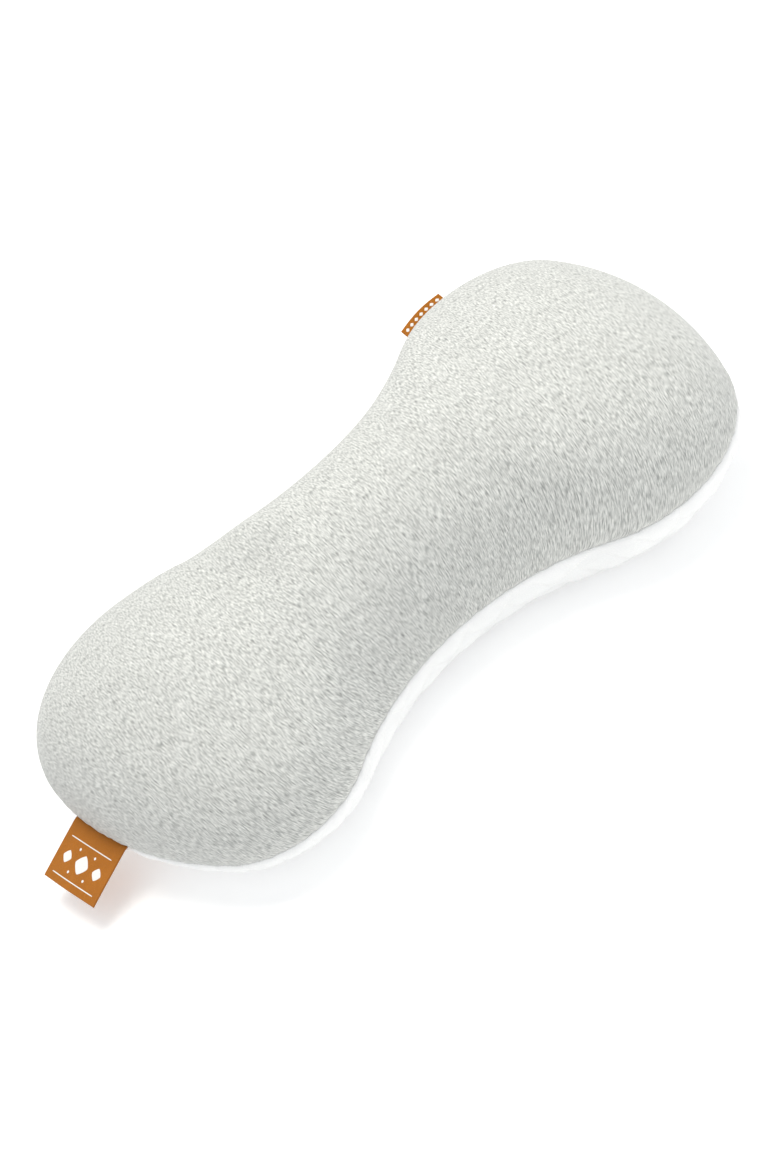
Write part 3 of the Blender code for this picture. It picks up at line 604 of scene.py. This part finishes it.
def bowl_steps(first, rows, flat_rows, power=1.2):
    """Rows of steps from the seam to the rim, and on across the flat to just short of the spine."""
    share = (np.arange(rows) / rows) ** power
    side = first + (1 - first) * share[:, None]
    flat = 1 + np.arange(flat_rows) / flat_rows
    return np.concatenate([side, np.tile(flat[:, None], (1, side.shape[1]))])


def quilt_depth(cloth):
    """How far the quilt lies inside its even surface: a bell-shaped groove along two families of
    diagonal lines, and a shallow cosine puff between them."""
    depth = np.zeros(cloth.shape[:-1])
    puff = np.ones(cloth.shape[:-1])
    for sign in (1, -1):
        across = (cloth[..., 0] + sign * cloth[..., 1]) / math.sqrt(2) / QUILT_PITCH
        off_line = np.abs(across - np.round(across)) * QUILT_PITCH
        groove = np.exp(-(off_line / QUILT_GROOVE_HALF) ** GROOVE_POWER)
        depth = np.maximum(depth, groove)
        puff = puff * np.sin(math.pi * off_line / QUILT_PITCH) ** 2
    return QUILT_GROOVE * depth + QUILT_PUFF * (1 - puff)


white_quilt, tree, shader = new_material(
    "white_quilt", Roughness=0.88, Sheen_Weight=0.15, Sheen_Roughness=0.4, Specular_IOR_Level=0.3,
    Subsurface_Weight=0.06, Subsurface_Radius=(0.004, 0.004, 0.004))
cloth_place = add_node(tree, "ShaderNodeUVMap", uv_map="UVMap").outputs["UV"]
turned = add_node(tree, "ShaderNodeMapping", {
    "Vector": cloth_place, "Rotation": (0, 0, math.pi / 4)}).outputs["Vector"]


def maths(tree, first, second, operation="MULTIPLY"):
    """Two values multiplied, or joined by another operation."""
    return add_node(tree, "ShaderNodeMath", {0: first, 1: second}, operation=operation).outputs[0]


def line_mask(tree, place, axis, pitch, half_width):
    """1 on lines this far apart across an axis of the place, falling to 0 at the half width."""
    split = add_node(tree, "ShaderNodeSeparateXYZ", {"Vector": place}).outputs[axis]
    scaled = maths(tree, split, 1 / pitch)
    whole = maths(tree, scaled, 0.0, "ROUND")
    off = maths(tree, maths(tree, scaled, whole, "SUBTRACT"), 0.0, "ABSOLUTE")
    return add_node(tree, "ShaderNodeMapRange", {
        "Value": off, "From Min": half_width / pitch, "From Max": 0.5 * half_width / pitch,
        "To Min": 0.0, "To Max": 1.0}).outputs["Result"]


STITCH_PITCH, STITCH_HALF, THREAD_HALF = 0.0034, 0.0013, 0.0005
first_way, second_way = (
    maths(tree, line_mask(tree, turned, axis, QUILT_PITCH, THREAD_HALF),
          line_mask(tree, turned, 1 - axis, STITCH_PITCH, STITCH_HALF)) for axis in (0, 1))
stitches = maths(tree, first_way, second_way, "MAXIMUM")
weave = cloth_noise(tree, cloth_place, 0.0009, 0.0009, detail=3.0)
soft_tone = cloth_noise(tree, cloth_place, 0.03, 0.03, offset=11.0)
white = ramp(tree, weave, [(0.3, (0.865, 0.87, 0.87)), (0.7, (0.93, 0.93, 0.926))])
white = mixed(tree, "MULTIPLY", 0.6, white, ramp(tree, soft_tone, [(0.3, 0.95), (0.7, 1.0)]))
white = mixed(tree, "MIX", stitches, white, (0.95, 0.95, 0.94, 1.0))
painted(tree, shader, white, maths(tree, maths(tree, weave, 0.35), stitches, "ADD"), 0.0003, 0.8)

stations = loop_stations(QUILT_COLUMNS)
count = 2 * QUILT_COLUMNS
fold_rise = SEAM_GAP / 2 + stations.window
steps = bowl_steps(bowl_step(stations, 0.0, fold_rise), QUILT_ROWS, FLAT_ROWS)
steps = np.concatenate([steps, np.full((1, count), 2.0)])
plain = bowl(stations, 0.0, 0.0, steps)
bottom_cloth = unrolled(stations, plain)
by_seam = ease((stations.seam - fold_rise - plain[..., 2]) / QUILT_FADE)
relief = quilt_depth(bottom_cloth) * by_seam
outer = plain + relief[..., None] * upward_normals(plain, 1)
outer = tucked(stations, outer, fold_rise, -1)
LIP = FACE_CLOTH + FOLD_LIP
QUILT_DEPTH = QUILT_GROOVE + QUILT_PUFF + FACE_CLOTH
rim = LIP + (SEAM_ALLOWANCE - LIP) * stations.sewn
folds = np.stack([fold_ring(stations, rim, -fold_rise),
                  fold_ring(stations, rim, -fold_rise - FACE_CLOTH)])
inner_steps = bowl_steps(bowl_step(stations, QUILT_DEPTH, fold_rise + FACE_CLOTH),
                         QUILT_INNER_ROWS, FLAT_INNER_ROWS)
inner = bowl(stations, FACE_CLOTH + SEAM_TUCK * stations.sewn, QUILT_DEPTH, inner_steps)
inner_crest = bowl(stations, 0.0, QUILT_DEPTH, np.full(count, 2.0))
points, faces = shell_mesh(np.concatenate([outer[:-1][::-1], folds, inner]), outer[-1],
                           inner_crest, False)
cover_bottom = link_mesh("cover_bottom", points, faces, "pillow", white_quilt,
                         shell_uv(bottom_cloth, len(inner)))
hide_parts("cover_bottom_panel", "quilt_wadding")


# ---------------------------------------------------------------- seam stitches
# White polyester lockstitch that joins the two panels. It shows in the groove as a row of short
# threads, everywhere but along the zip.

SEAM_STITCH_PITCH, SEAM_STITCH_LENGTH, SEAM_THREAD = 0.0033, 0.0026, 0.00032
STITCH_SIDES, SEWN_ENOUGH, PUCKER_SHARE, STITCH_SLANT = 6, 0.9, 0.2, 0.25


def stitch_row(name, centres, ways, outs, length, radius):
    """Short threads as spindles with a few flat sides, full in the middle and thin at each end."""
    ways = ways / np.linalg.norm(ways, axis=1, keepdims=True)
    sides = np.cross(ways, outs)
    sides = sides / np.linalg.norm(sides, axis=1, keepdims=True)
    outs = np.cross(sides, ways)
    along = np.array([-0.5, -0.38, 0.38, 0.5]) * length
    girth = np.array([0.25, 1.0, 1.0, 0.25]) * radius
    turn = np.arange(STITCH_SIDES) * 2 * math.pi / STITCH_SIDES
    shape = np.stack(np.broadcast_arrays(
        along[:, None], girth[:, None] * np.cos(turn), girth[:, None] * np.sin(turn)), axis=-1)
    frames = np.stack([ways, sides, outs], axis=1)
    points = centres[:, None, :] + shape.reshape(-1, 3) @ frames
    ring = np.arange(len(along) * STITCH_SIDES).reshape(-1, STITCH_SIDES)
    offset = ring.size * np.arange(len(centres))[:, None, None]
    faces = (ring_faces(ring)[None, :, ::-1] + offset).reshape(-1, 4).tolist()
    for end in (ring[0], ring[-1][::-1]):
        faces += (end + offset).reshape(-1, STITCH_SIDES).tolist()
    row = link_mesh(name, points.reshape(-1, 3), faces, "pillow", thread_white)


def mottled(name, scale, detail, dark, light, relief, low=0.3, high=0.7, rough=None, **sockets):
    """A material whose colour, relief and, if asked, roughness go from low to high with noise."""
    material, tree, shader = new_material(name, **sockets)
    place = add_node(tree, "ShaderNodeTexCoord").outputs["Object"]
    noise = add_node(tree, "ShaderNodeTexNoise", {
        "Vector": place, "Scale": scale, "Detail": detail}).outputs["Fac"]
    painted(tree, shader, ramp(tree, noise, [(low, dark), (high, light)]), noise, relief)
    if rough:
        tree.links.new(ramp(tree, noise, list(zip((low, high), rough))),
                       shader.inputs["Roughness"])
    return material


thread_white = mottled("thread_white", 2200.0, 2.0, (0.70, 0.71, 0.70), (0.88, 0.88, 0.87), 0.0001,
                       Roughness=0.6, Sheen_Weight=0.2, Specular_IOR_Level=0.4)

stations = loop_stations(TOP_COLUMNS * 2)
stitch_at = np.arange(0, stations.girth, SEAM_STITCH_PITCH)
pick = np.searchsorted(stations.along, stitch_at).clip(0, len(stations.along) - 1)
pick = pick[stations.sewn[pick] > SEWN_ENOUGH]
depth_in = (SEAM_TUCK + PUCKER_SHARE * PUCKER_DEPTH) * stations.inward[pick]
centres = np.column_stack([stations.edge[pick] + depth_in, stations.seam[pick]])
outs = np.column_stack([stations.normal[pick], np.zeros(len(pick))])
upright = (0.0, 0.0, 1.0)
ways = np.tile(upright, (len(pick), 1)) + STITCH_SLANT * np.cross(outs, upright)
stitch_row("seam_stitches", centres, ways, outs, SEAM_STITCH_LENGTH, SEAM_THREAD)
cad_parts["overlock_thread"].material_slots[0].material = thread_white


# ---------------------------------------------------------------- inner cushion
# A closed cotton casing in two halves, filled with polyester fibre. The cover takes its full, even
# shape from it. A satin care label hangs inside the cover beside it.

CUSHION_INSET, CUSHION_TOP, CUSHION_BASE, CASING = 0.012, 0.0042, 0.0049, 0.0008
CUSHION_COLUMNS, CUSHION_ROWS, CUSHION_FLAT_ROWS = 90, 22, 8

casing_cotton = mottled("casing_cotton", 900.0, 3.0, (0.72, 0.71, 0.67), (0.84, 0.83, 0.79), 0.0002,
                        Roughness=0.9, Sheen_Weight=0.1)
fibre = mottled("polyester_fibre", 120.0, 6.0, (0.80, 0.80, 0.80), (0.93, 0.93, 0.93), 0.002,
                Roughness=1.0, Sheen_Weight=0.3)

stations = loop_stations(CUSHION_COLUMNS)
count = 2 * CUSHION_COLUMNS
half_gap = np.full(count, SEAM_GAP / 2)


def dome_layer(inset, drop):
    """Rings of the upper surface from edge to spine, and its crest."""
    turns = ring_turns(dome_turn(stations, drop, half_gap), CUSHION_ROWS)
    return (dome(stations, inset, drop, turns),
            dome(stations, inset, drop, np.full(count, math.pi / 2)))


def bowl_layer(inset, base):
    """Rings of the lower surface from edge to spine, and its line on the flat."""
    steps = bowl_steps(bowl_step(stations, base, half_gap), CUSHION_ROWS, CUSHION_FLAT_ROWS)
    return bowl(stations, inset, base, steps), bowl(stations, inset, base, np.full(count, 2.0))


for name, layer, height, upward in (("casing_top", dome_layer, CUSHION_TOP, True),
                                    ("casing_bottom", bowl_layer, CUSHION_BASE, False)):
    outer, crest = layer(CUSHION_INSET, height)
    inner, inner_crest = layer(CUSHION_INSET + CASING, height + CASING)
    points, faces = shell_mesh(np.concatenate([outer[::-1], inner]), crest, inner_crest, upward)
    half = link_mesh(name, points, faces, "pillow", casing_cotton)
    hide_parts("inner_" + name)

FILL_ROOM = CASING + SEAM_GAP
upper, crest = dome_layer(CUSHION_INSET + FILL_ROOM, CUSHION_TOP + FILL_ROOM)
lower, base_line = bowl_layer(CUSHION_INSET + FILL_ROOM, CUSHION_BASE + FILL_ROOM)
points, faces = shell_mesh(np.concatenate([upper[::-1], lower]), crest, base_line, True)
filling = link_mesh("filling", points, faces, "pillow", fibre)
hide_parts("fibre_filling")
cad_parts["quilt_backing"].material_slots[0].material = casing_cotton

LABEL_LEFT, LABEL_RIGHT, LABEL_TURNS_DEG = -0.087, -0.058, (15.0, 32.0)
LABEL_DEPTH, LABEL_CLOTH, LABEL_POINTS = 0.0050, 0.0003, 13
label_satin = mottled("label_satin", 1500.0, 2.0, (0.82, 0.82, 0.80), (0.90, 0.90, 0.88), 0.0001,
                      Roughness=0.45, Sheen_Weight=0.2, Anisotropic=0.5)


def strip_mesh(front, back):
    """Points and faces of a thin closed strip between two grids of the same size."""
    rows, columns = front.shape[:2]
    grid = np.arange(rows * columns).reshape(rows, columns)
    faces = [np.stack([grid[:-1, :-1], grid[:-1, 1:], grid[1:, 1:], grid[1:, :-1]], axis=-1)]
    back_grid = grid + rows * columns
    faces.append(np.stack([back_grid[1:, :-1], back_grid[1:, 1:], back_grid[:-1, 1:],
                           back_grid[:-1, :-1]], axis=-1))
    faces = [face.reshape(-1, 4) for face in faces]
    rim = np.concatenate([grid[0, :-1], grid[:-1, -1], grid[-1, :0:-1], grid[:0:-1, 0]])
    around = np.roll(rim, -1)
    faces.append(np.stack([rim, rim + rows * columns, around + rows * columns, around], axis=-1))
    return np.concatenate([front.reshape(-1, 3), back.reshape(-1, 3)]), np.concatenate(faces)


x = np.linspace(LABEL_LEFT, LABEL_RIGHT, LABEL_POINTS)
places = Stations(x, np.zeros(len(x), bool))
turns = np.radians(np.linspace(*LABEL_TURNS_DEG, LABEL_POINTS))[:, None] * np.ones(len(x))
front, behind = (dome(places, inset, inset, turns)
                 for inset in (LABEL_DEPTH, LABEL_DEPTH + LABEL_CLOTH))
points, faces = strip_mesh(front, behind)
label = link_mesh("care_label_satin", points, faces, "pillow", label_satin)
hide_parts("care_label")


# ---------------------------------------------------------------- coil zip
# A closed-end nylon coil zip in the far waist: two woven tapes behind the folded edges, a coil
# along each, metal stops at the ends, and a row of topstitching through both folds.

TAPE_INSET, TAPE_CLOTH, TAPE_HEIGHT, TAPE_TAIL = 0.0024, 0.0006, 0.016, 0.020
TAPE_POINTS, TAPE_ROWS = 100, 13
COIL_SLIT, COIL_HEIGHT, COIL_DEPTH, COIL_PITCH = 0.0016, 0.0026, 0.0024, 0.0016
COIL_WIRE, COIL_SIDES, COIL_POINTS_PER_TURN, COIL_SHARE = 0.0004, 6, 10, 0.997
COIL_BACK = TAPE_INSET - SEAM_GAP
FOLD_STITCH_RISE, FOLD_STITCH_PITCH, FOLD_STITCH_LENGTH = 0.0030, 0.0034, 0.0026
FOLD_STITCH_REACH, FOLD_THREAD = 0.05, 0.0003

zip_weave, tree, shader = new_material("zip_weave", Roughness=0.7, Sheen_Weight=0.15)
tape_place = add_node(tree, "ShaderNodeUVMap", uv_map="UVMap").outputs["UV"]
ribs = add_node(tree, "ShaderNodeTexWave", {
    "Vector": add_node(tree, "ShaderNodeMapping", {
        "Vector": tape_place, "Rotation": (0, 0, math.radians(35))}).outputs["Vector"],
    "Scale": 520.0, "Distortion": 0.8, "Detail": 1.0}).outputs["Color"]
rib_tone = ramp(tree, ribs, [(0.1, (0.66, 0.67, 0.68)), (0.9, (0.84, 0.85, 0.86))])
painted(tree, shader, rib_tone, ribs, 0.0003)

angle = np.linspace(-ZIP_HALF_ANGLE - TAPE_TAIL / FAR_WAIST_RADIUS,
                    ZIP_HALF_ANGLE + TAPE_TAIL / FAR_WAIST_RADIUS, TAPE_POINTS)
x = ZIP_CENTRE[0] + FAR_WAIST_RADIUS * np.sin(angle)
places = Stations(x, np.ones(len(x), bool))
rises = np.linspace(COIL_SLIT / 2, TAPE_HEIGHT, TAPE_ROWS)[:, None] * np.ones(len(x))
tape_uv = np.stack(np.broadcast_arrays(angle * FAR_WAIST_RADIUS, rises), axis=-1).reshape(-1, 2)


def beside_zip(side, places, inset, rise):
    """Points this far inside the upper or the lower panel and this far from the seam."""
    if side == "upper":
        return dome(places, inset, 0.0, dome_turn(places, 0.0, rise))
    return bowl(places, inset, 0.0, bowl_step(places, 0.0, rise))


for side in ("upper", "lower"):
    points, faces = strip_mesh(beside_zip(side, places, TAPE_INSET, rises),
                               beside_zip(side, places, TAPE_INSET + TAPE_CLOTH, rises))
    if side == "upper":
        faces = faces[:, ::-1]
    tape = link_mesh(f"tape_{side}", points, faces, "pillow", zip_weave,
                     np.concatenate([tape_uv, tape_uv]))
    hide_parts(f"zip_tape_{side}")

slope = math.radians(SEAM_SLOPE_DEG)
ZIP_TILT = np.array([[math.cos(slope), 0, math.sin(slope)], [0, 1, 0],
                     [-math.sin(slope), 0, math.cos(slope)]])
ZIP_ORIGIN = np.array([*ZIP_CENTRE, seam_height_at(ZIP_CENTRE[0])])


def zip_place(angle, depth, height):
    """A point of the zip's own frame: turned about the far waist's centre, tilted as the seam."""
    reach = FAR_WAIST_RADIUS + depth
    local = np.broadcast_arrays(reach * np.sin(angle), -reach * np.cos(angle), height)
    return ZIP_ORIGIN + np.stack(local, axis=-1) @ ZIP_TILT


def tube(path, side, radius, sides):
    """Points and faces of a round wire along a path, with a circle in each plane across it."""
    way = np.gradient(path, axis=0)
    way = way / np.linalg.norm(way, axis=1, keepdims=True)
    side = side - np.sum(side * way, axis=1, keepdims=True) * way
    side = side / np.linalg.norm(side, axis=1, keepdims=True)
    other = np.cross(way, side)
    turn = np.arange(sides) * 2 * math.pi / sides
    points = path[:, None] + radius * (np.cos(turn)[:, None] * side[:, None]
                                       + np.sin(turn)[:, None] * other[:, None])
    ring = np.arange(len(path) * sides).reshape(len(path), sides)
    faces = ring_faces(ring).tolist() + [ring[0][::-1].tolist(), ring[-1].tolist()]
    return points.reshape(-1, 3), faces


coil_nylon = mottled("coil_nylon", 400.0, 2.0, (0.80, 0.81, 0.82), (0.90, 0.91, 0.92), 0.00005,
                     Roughness=0.35, Specular_IOR_Level=0.5)
turns_of_coil = int(ZIP_LENGTH / COIL_PITCH)
share = np.linspace(0, 1, turns_of_coil * COIL_POINTS_PER_TURN + 1)
wind = 2 * math.pi * turns_of_coil * share
angle = ZIP_HALF_ANGLE * (2 * share - 1) * COIL_SHARE
fold_x = ZIP_CENTRE[0] + FAR_WAIST_RADIUS * np.sin(
    np.arange(-ZIP_HALF_ANGLE - FOLD_STITCH_REACH, ZIP_HALF_ANGLE + FOLD_STITCH_REACH,
              FOLD_STITCH_PITCH / FAR_WAIST_RADIUS))
places = Stations(fold_x, np.ones(len(fold_x), bool))
rise = SEAM_GAP / 2 + places.window + FOLD_STITCH_RISE
outs = np.column_stack([places.normal, np.zeros(len(fold_x))])
for side, sign in (("upper", 1), ("lower", -1)):
    middle = sign * (COIL_SLIT + COIL_HEIGHT) / 2
    across = (COIL_HEIGHT / 2 - COIL_WIRE) * np.sin(wind)
    inward = (COIL_DEPTH / 2 - COIL_WIRE) * np.cos(wind)
    core = zip_place(angle, COIL_BACK - COIL_DEPTH / 2, np.full(len(angle), middle))
    path = zip_place(angle, COIL_BACK - COIL_DEPTH / 2 + inward, middle + sign * across)
    coil = link_mesh(f"coil_{side}", *tube(path, path - core, COIL_WIRE, COIL_SIDES), "pillow",
                     coil_nylon)
    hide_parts(f"zip_coil_{side}")
    centres = beside_zip(side, places, 0.0, rise)
    stitch_row(f"fold_stitches_{side}", centres, np.gradient(centres, axis=0), outs,
               FOLD_STITCH_LENGTH, FOLD_THREAD)

zip_metal = mottled(
    "zip_metal", 300.0, 5.0, (0.62, 0.63, 0.65), (0.78, 0.79, 0.81), 0.00004, low=0.35, high=0.65,
    rough=(0.22, 0.40), Metallic=1.0, Specular_IOR_Level=0.5)


def rounded_copy(name, node, width, body):
    """A copy of a frame piece, its doubles merged, its flats made whole and its edges rounded."""
    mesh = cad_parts[node].data.copy()
    mesh.name = name
    work = bmesh.new()
    work.from_mesh(mesh)
    bmesh.ops.remove_doubles(work, verts=work.verts, dist=1e-6)
    bmesh.ops.dissolve_limit(work, angle_limit=math.radians(1), verts=work.verts, edges=work.edges)
    bmesh.ops.recalc_face_normals(work, faces=work.faces)
    work.to_mesh(mesh)
    work.free()
    mesh.materials.clear()
    mesh.materials.append(zip_metal)
    mesh.shade_smooth()
    piece = new_object(name, mesh)
    bevel = piece.modifiers.new("rounded", "BEVEL")
    bevel.width, bevel.segments, bevel.limit_method = width, 2, "ANGLE"
    bevel.angle_limit = math.radians(30)
    bevel.harden_normals = True
    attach(piece, body)
    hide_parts(node)


STOP_ROUNDING = 0.00035
rounded_copy("stop_upper", "zip_top_stop_upper", STOP_ROUNDING, "pillow")
rounded_copy("stop_lower", "zip_top_stop_lower", STOP_ROUNDING, "pillow")
rounded_copy("stop_end", "zip_bottom_stop", STOP_ROUNDING, "pillow")


# ---------------------------------------------------------------- slider and pull
# A die-cast zinc slider that runs along the coils, and a flat stamped pull whose eye hangs on the
# bar under the slider's bridge.

SLIDER_ROUNDING, PULL_ROUNDING = 0.00022, 0.00025
rounded_copy("slider", "zip_slider", SLIDER_ROUNDING, "slider")
rounded_copy("pull", "zip_pull", PULL_ROUNDING, "pull")


# ---------------------------------------------------------------- woven tags
# Two woven orange ribbons, each folded double with its fold outwards and both ends caught in the
# seam: a wide one on the left end, a narrow one on the far side. A plain white motif is on top.

TAG_CLOTH, TAG_FOLD_GAP, TAG_HINGE_OUT, TAG_ROOT = 0.00045, 0.0003, 0.0009, -0.0035
TAG_BEND_FROM, TAG_BEND_LENGTH, TAG_CURL = -0.0022, 0.0035, 0.0007
TAG_ROWS, FOLD_ROWS, TAG_COLUMNS, TAG_STEPS, TAG_SLACK, CURL_PHASE = 33, 11, 31, 400, 0.01, 0.6
SELVEDGE_RISE, SELVEDGE_REACH = 0.00012, 0.0008
MOTIF_POINTS, MOTIF_SUNK, MOTIF_RISE, MOTIF_TOP = 48, 0.00005, 0.0003, 0.00026
MOTIF_RINGS = (1.0, 0.97, 0.88, 0.7, 0.4, 0.0)
tag_weave, tree, shader = new_material("tag_weave", Roughness=0.72, Sheen_Weight=0.04,
                                       Specular_IOR_Level=0.2)
tag_place = add_node(tree, "ShaderNodeUVMap", uv_map="UVMap").outputs["UV"]
warp = add_node(tree, "ShaderNodeTexWave", {
    "Vector": tag_place, "Scale": 900.0, "Distortion": 0.5}, bands_direction="X")
weft = add_node(tree, "ShaderNodeTexWave", {
    "Vector": tag_place, "Scale": 620.0, "Distortion": 0.5}, bands_direction="Y")
weave = mixed(tree, "MIX", 0.5, warp.outputs["Color"], weft.outputs["Color"])
fade = cloth_noise(tree, tag_place, 0.012, 0.02)
orange = ramp(tree, weave, [(0.2, (0.430, 0.140, 0.009)), (0.8, (0.550, 0.190, 0.018))])
orange = mixed(tree, "MULTIPLY", 0.7, orange, ramp(tree, fade, [(0.3, 0.90), (0.7, 1.0)]))
painted(tree, shader, orange, weave, 0.00018)

motif_white = mottled("motif_white", 1800.0, 2.0, (0.80, 0.79, 0.76), (0.92, 0.91, 0.89), 0.0001,
                      Roughness=0.6, Sheen_Weight=0.2)


class Tag:
    """A tag's own sheet: s runs outwards along it, w across it and h square to it. Across it, the
    sheet falls back from the middle by a parabola, as the curved seam does."""

    def __init__(self, point, out, width, length, lift_deg, seam_radius):
        self.width, self.length, self.lift = width, length, math.radians(lift_deg)
        self.seam = np.array([*point, seam_height_at(point[0])])
        self.out = np.array([*out, 0.0])
        self.side = np.cross(upright, self.out)
        self.seam_radius = seam_radius
        self.run = np.linspace(TAG_ROOT, length + TAG_SLACK, TAG_STEPS)
        step = self.run[1] - self.run[0]
        lean = self.lean(self.run)
        self.reach = np.concatenate([[0], np.cumsum(np.cos(lean[:-1]) * step)]) + TAG_ROOT
        self.rise = np.concatenate([[0], np.cumsum(np.sin(lean[:-1]) * step)])

    def lean(self, s):
        """The ribbon lies level in the seam and turns by a smooth step to its own lift."""
        return self.lift * ease((s - TAG_BEND_FROM) / TAG_BEND_LENGTH)

    def place(self, s, w, h):
        """Points of the sheet, with a slight curl across it that grows as the square of s."""
        lean = self.lean(s)
        wave = np.cos(2 * math.pi * w / self.width + CURL_PHASE)
        curl = TAG_CURL * (s / self.length) ** 2 * wave
        high = h + curl * (s > 0)
        reach = np.interp(s, self.run, self.reach) - np.sin(lean) * high
        reach = reach - w ** 2 / (2 * self.seam_radius)
        rise = np.interp(s, self.run, self.rise) + np.cos(lean) * high
        return (self.seam + reach[..., None] * self.out + w[..., None] * self.side
                + rise[..., None] * np.array(upright))

    def hinge(self):
        """The frame's hinge just outside the seam, and the way the tag points beyond it."""
        way = math.cos(self.lift) * self.out + math.sin(self.lift) * np.array(upright)
        return self.seam + TAG_HINGE_OUT * self.out, way

    def ribbon(self, name):
        """A closed strip whose section is a hairpin: up one layer, round the fold and back."""
        outer, inner = TAG_CLOTH + TAG_FOLD_GAP / 2, TAG_FOLD_GAP / 2
        bend = self.length - outer + TAG_HINGE_OUT
        line = np.linspace(TAG_ROOT, bend, TAG_ROWS + 1)
        turn = np.concatenate([np.full(TAG_ROWS, math.pi / 2),
                               np.linspace(math.pi / 2, -math.pi / 2, FOLD_ROWS),
                               np.full(TAG_ROWS, -math.pi / 2)])
        base = np.concatenate([line[:-1], np.full(FOLD_ROWS, bend), line[-2::-1]])
        w = self.width / 2 * np.sin(np.linspace(-math.pi / 2, math.pi / 2, TAG_COLUMNS))
        selvedge = np.exp(-(self.width / 2 - np.abs(w)) / SELVEDGE_REACH)
        sheets = []
        for radius in (outer + SELVEDGE_RISE * selvedge, np.full(len(w), inner)):
            s = base[None] + radius[:, None] * np.cos(turn)
            h = radius[:, None] * np.sin(turn)
            sheets.append(self.place(s, np.broadcast_to(w[:, None], s.shape), h))
        points, faces = strip_mesh(*sheets)
        step = np.abs(np.diff(base)) + outer * np.abs(np.diff(turn))
        length = np.concatenate([[0], np.cumsum(step)])
        uv = np.stack(np.broadcast_arrays(w[:, None], length[None]), axis=-1).reshape(-1, 2)
        return link_mesh(name, points, faces, None, tag_weave, np.concatenate([uv, uv]))

    def motif(self, name, marks):
        """Raised lozenges, dots and bars: each is an oval of its own power, and its height goes as
        the root of one less the square of the share of its half size."""
        outer = TAG_CLOTH + TAG_FOLD_GAP / 2
        turn = np.linspace(0, 2 * math.pi, MOTIF_POINTS, endpoint=False)
        ring = np.array(MOTIF_RINGS)[:, None]
        height = outer - MOTIF_SUNK + MOTIF_RISE * np.sqrt(1 - ring ** 2)
        height[-1] = outer + MOTIF_TOP
        top = (len(ring) - 1) * MOTIF_POINTS
        grid = np.arange(top).reshape(-1, MOTIF_POINTS)
        cap = np.stack([grid[-1], np.roll(grid[-1], -1), np.full(MOTIF_POINTS, top)], axis=-1)
        points, faces = [], []
        for start, (s0, w0, half_s, half_w, power) in enumerate(marks):
            start *= top + 1
            size = (np.abs(np.cos(turn)) ** power + np.abs(np.sin(turn)) ** power) ** (-1 / power)
            s = s0 + half_s * ring * size * np.cos(turn)
            w = w0 + half_w * ring * size * np.sin(turn)
            here = self.place(s, w, np.broadcast_to(height, s.shape))
            points.append(here.reshape(-1, 3)[:top + 1])
            faces += (ring_faces(grid) + start).tolist() + [(grid[0][::-1] + start).tolist()]
            faces += (cap + start).tolist()
        return link_mesh(name, np.concatenate(points), faces, None, motif_white)


END_TAG_WIDTH, END_TAG_LENGTH, END_TAG_LIFT_DEG = 0.065, 0.047, -18.0
END_TAG_OFF_MIDDLE, END_TAG_SEAM_RADIUS = 0.0085, 3.0
SIDE_TAG_WIDTH, SIDE_TAG_LENGTH, SIDE_TAG_LIFT_DEG = 0.047, 0.041, 40.0
SIDE_TAG_FROM_END = 0.110
LOZENGE_POWER, DOT_POWER, BAR_POWER = 1.25, 1.6, 8.0
left_end = lobe("left", -1)[2]
rise = END_TAG_OFF_MIDDLE - left_end[1]
end_point = np.array([left_end[0] - math.sqrt(END_RADIUS["left"] ** 2 - rise ** 2),
                      END_TAG_OFF_MIDDLE])
side_point, side_out = (
    values[0] for values in edge_at(np.array([LENGTH / 2 - SIDE_TAG_FROM_END]), True))
# Each mark is its place along and across the tag, its half sizes and the power of its oval.
end_marks = [(0.0265, w, half, half, LOZENGE_POWER) for w, half in
             ((-0.019, 0.0052), (0.0, 0.0078), (0.019, 0.0052))]
end_marks += [(s, w, 0.0012, 0.0012, DOT_POWER) for s in (0.017, 0.036) for w in (-0.0095, 0.0095)]
end_marks += [(s, 0.0, 0.00045, 0.0265, BAR_POWER) for s in (0.0115, 0.0415)]
side_marks = [(0.0378, w, 0.0016, 0.0020, LOZENGE_POWER) for w in np.linspace(-0.0186, 0.0186, 7)]
for name, tag, marks in (
        ("end_tag", Tag(end_point, (end_point - left_end) / END_RADIUS["left"], END_TAG_WIDTH,
                        END_TAG_LENGTH, END_TAG_LIFT_DEG, END_TAG_SEAM_RADIUS), end_marks),
        ("side_tag", Tag(side_point, side_out, SIDE_TAG_WIDTH, SIDE_TAG_LENGTH,
                         SIDE_TAG_LIFT_DEG, FAR_SHOULDER_RADIUS["right"]), side_marks)):
    ribbon, motif = tag.ribbon(name + "_ribbon"), tag.motif(name + "_motif", marks)
    hinge, way = tag.hinge()
    for piece in (ribbon, motif):
        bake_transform(piece)
    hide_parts(name)
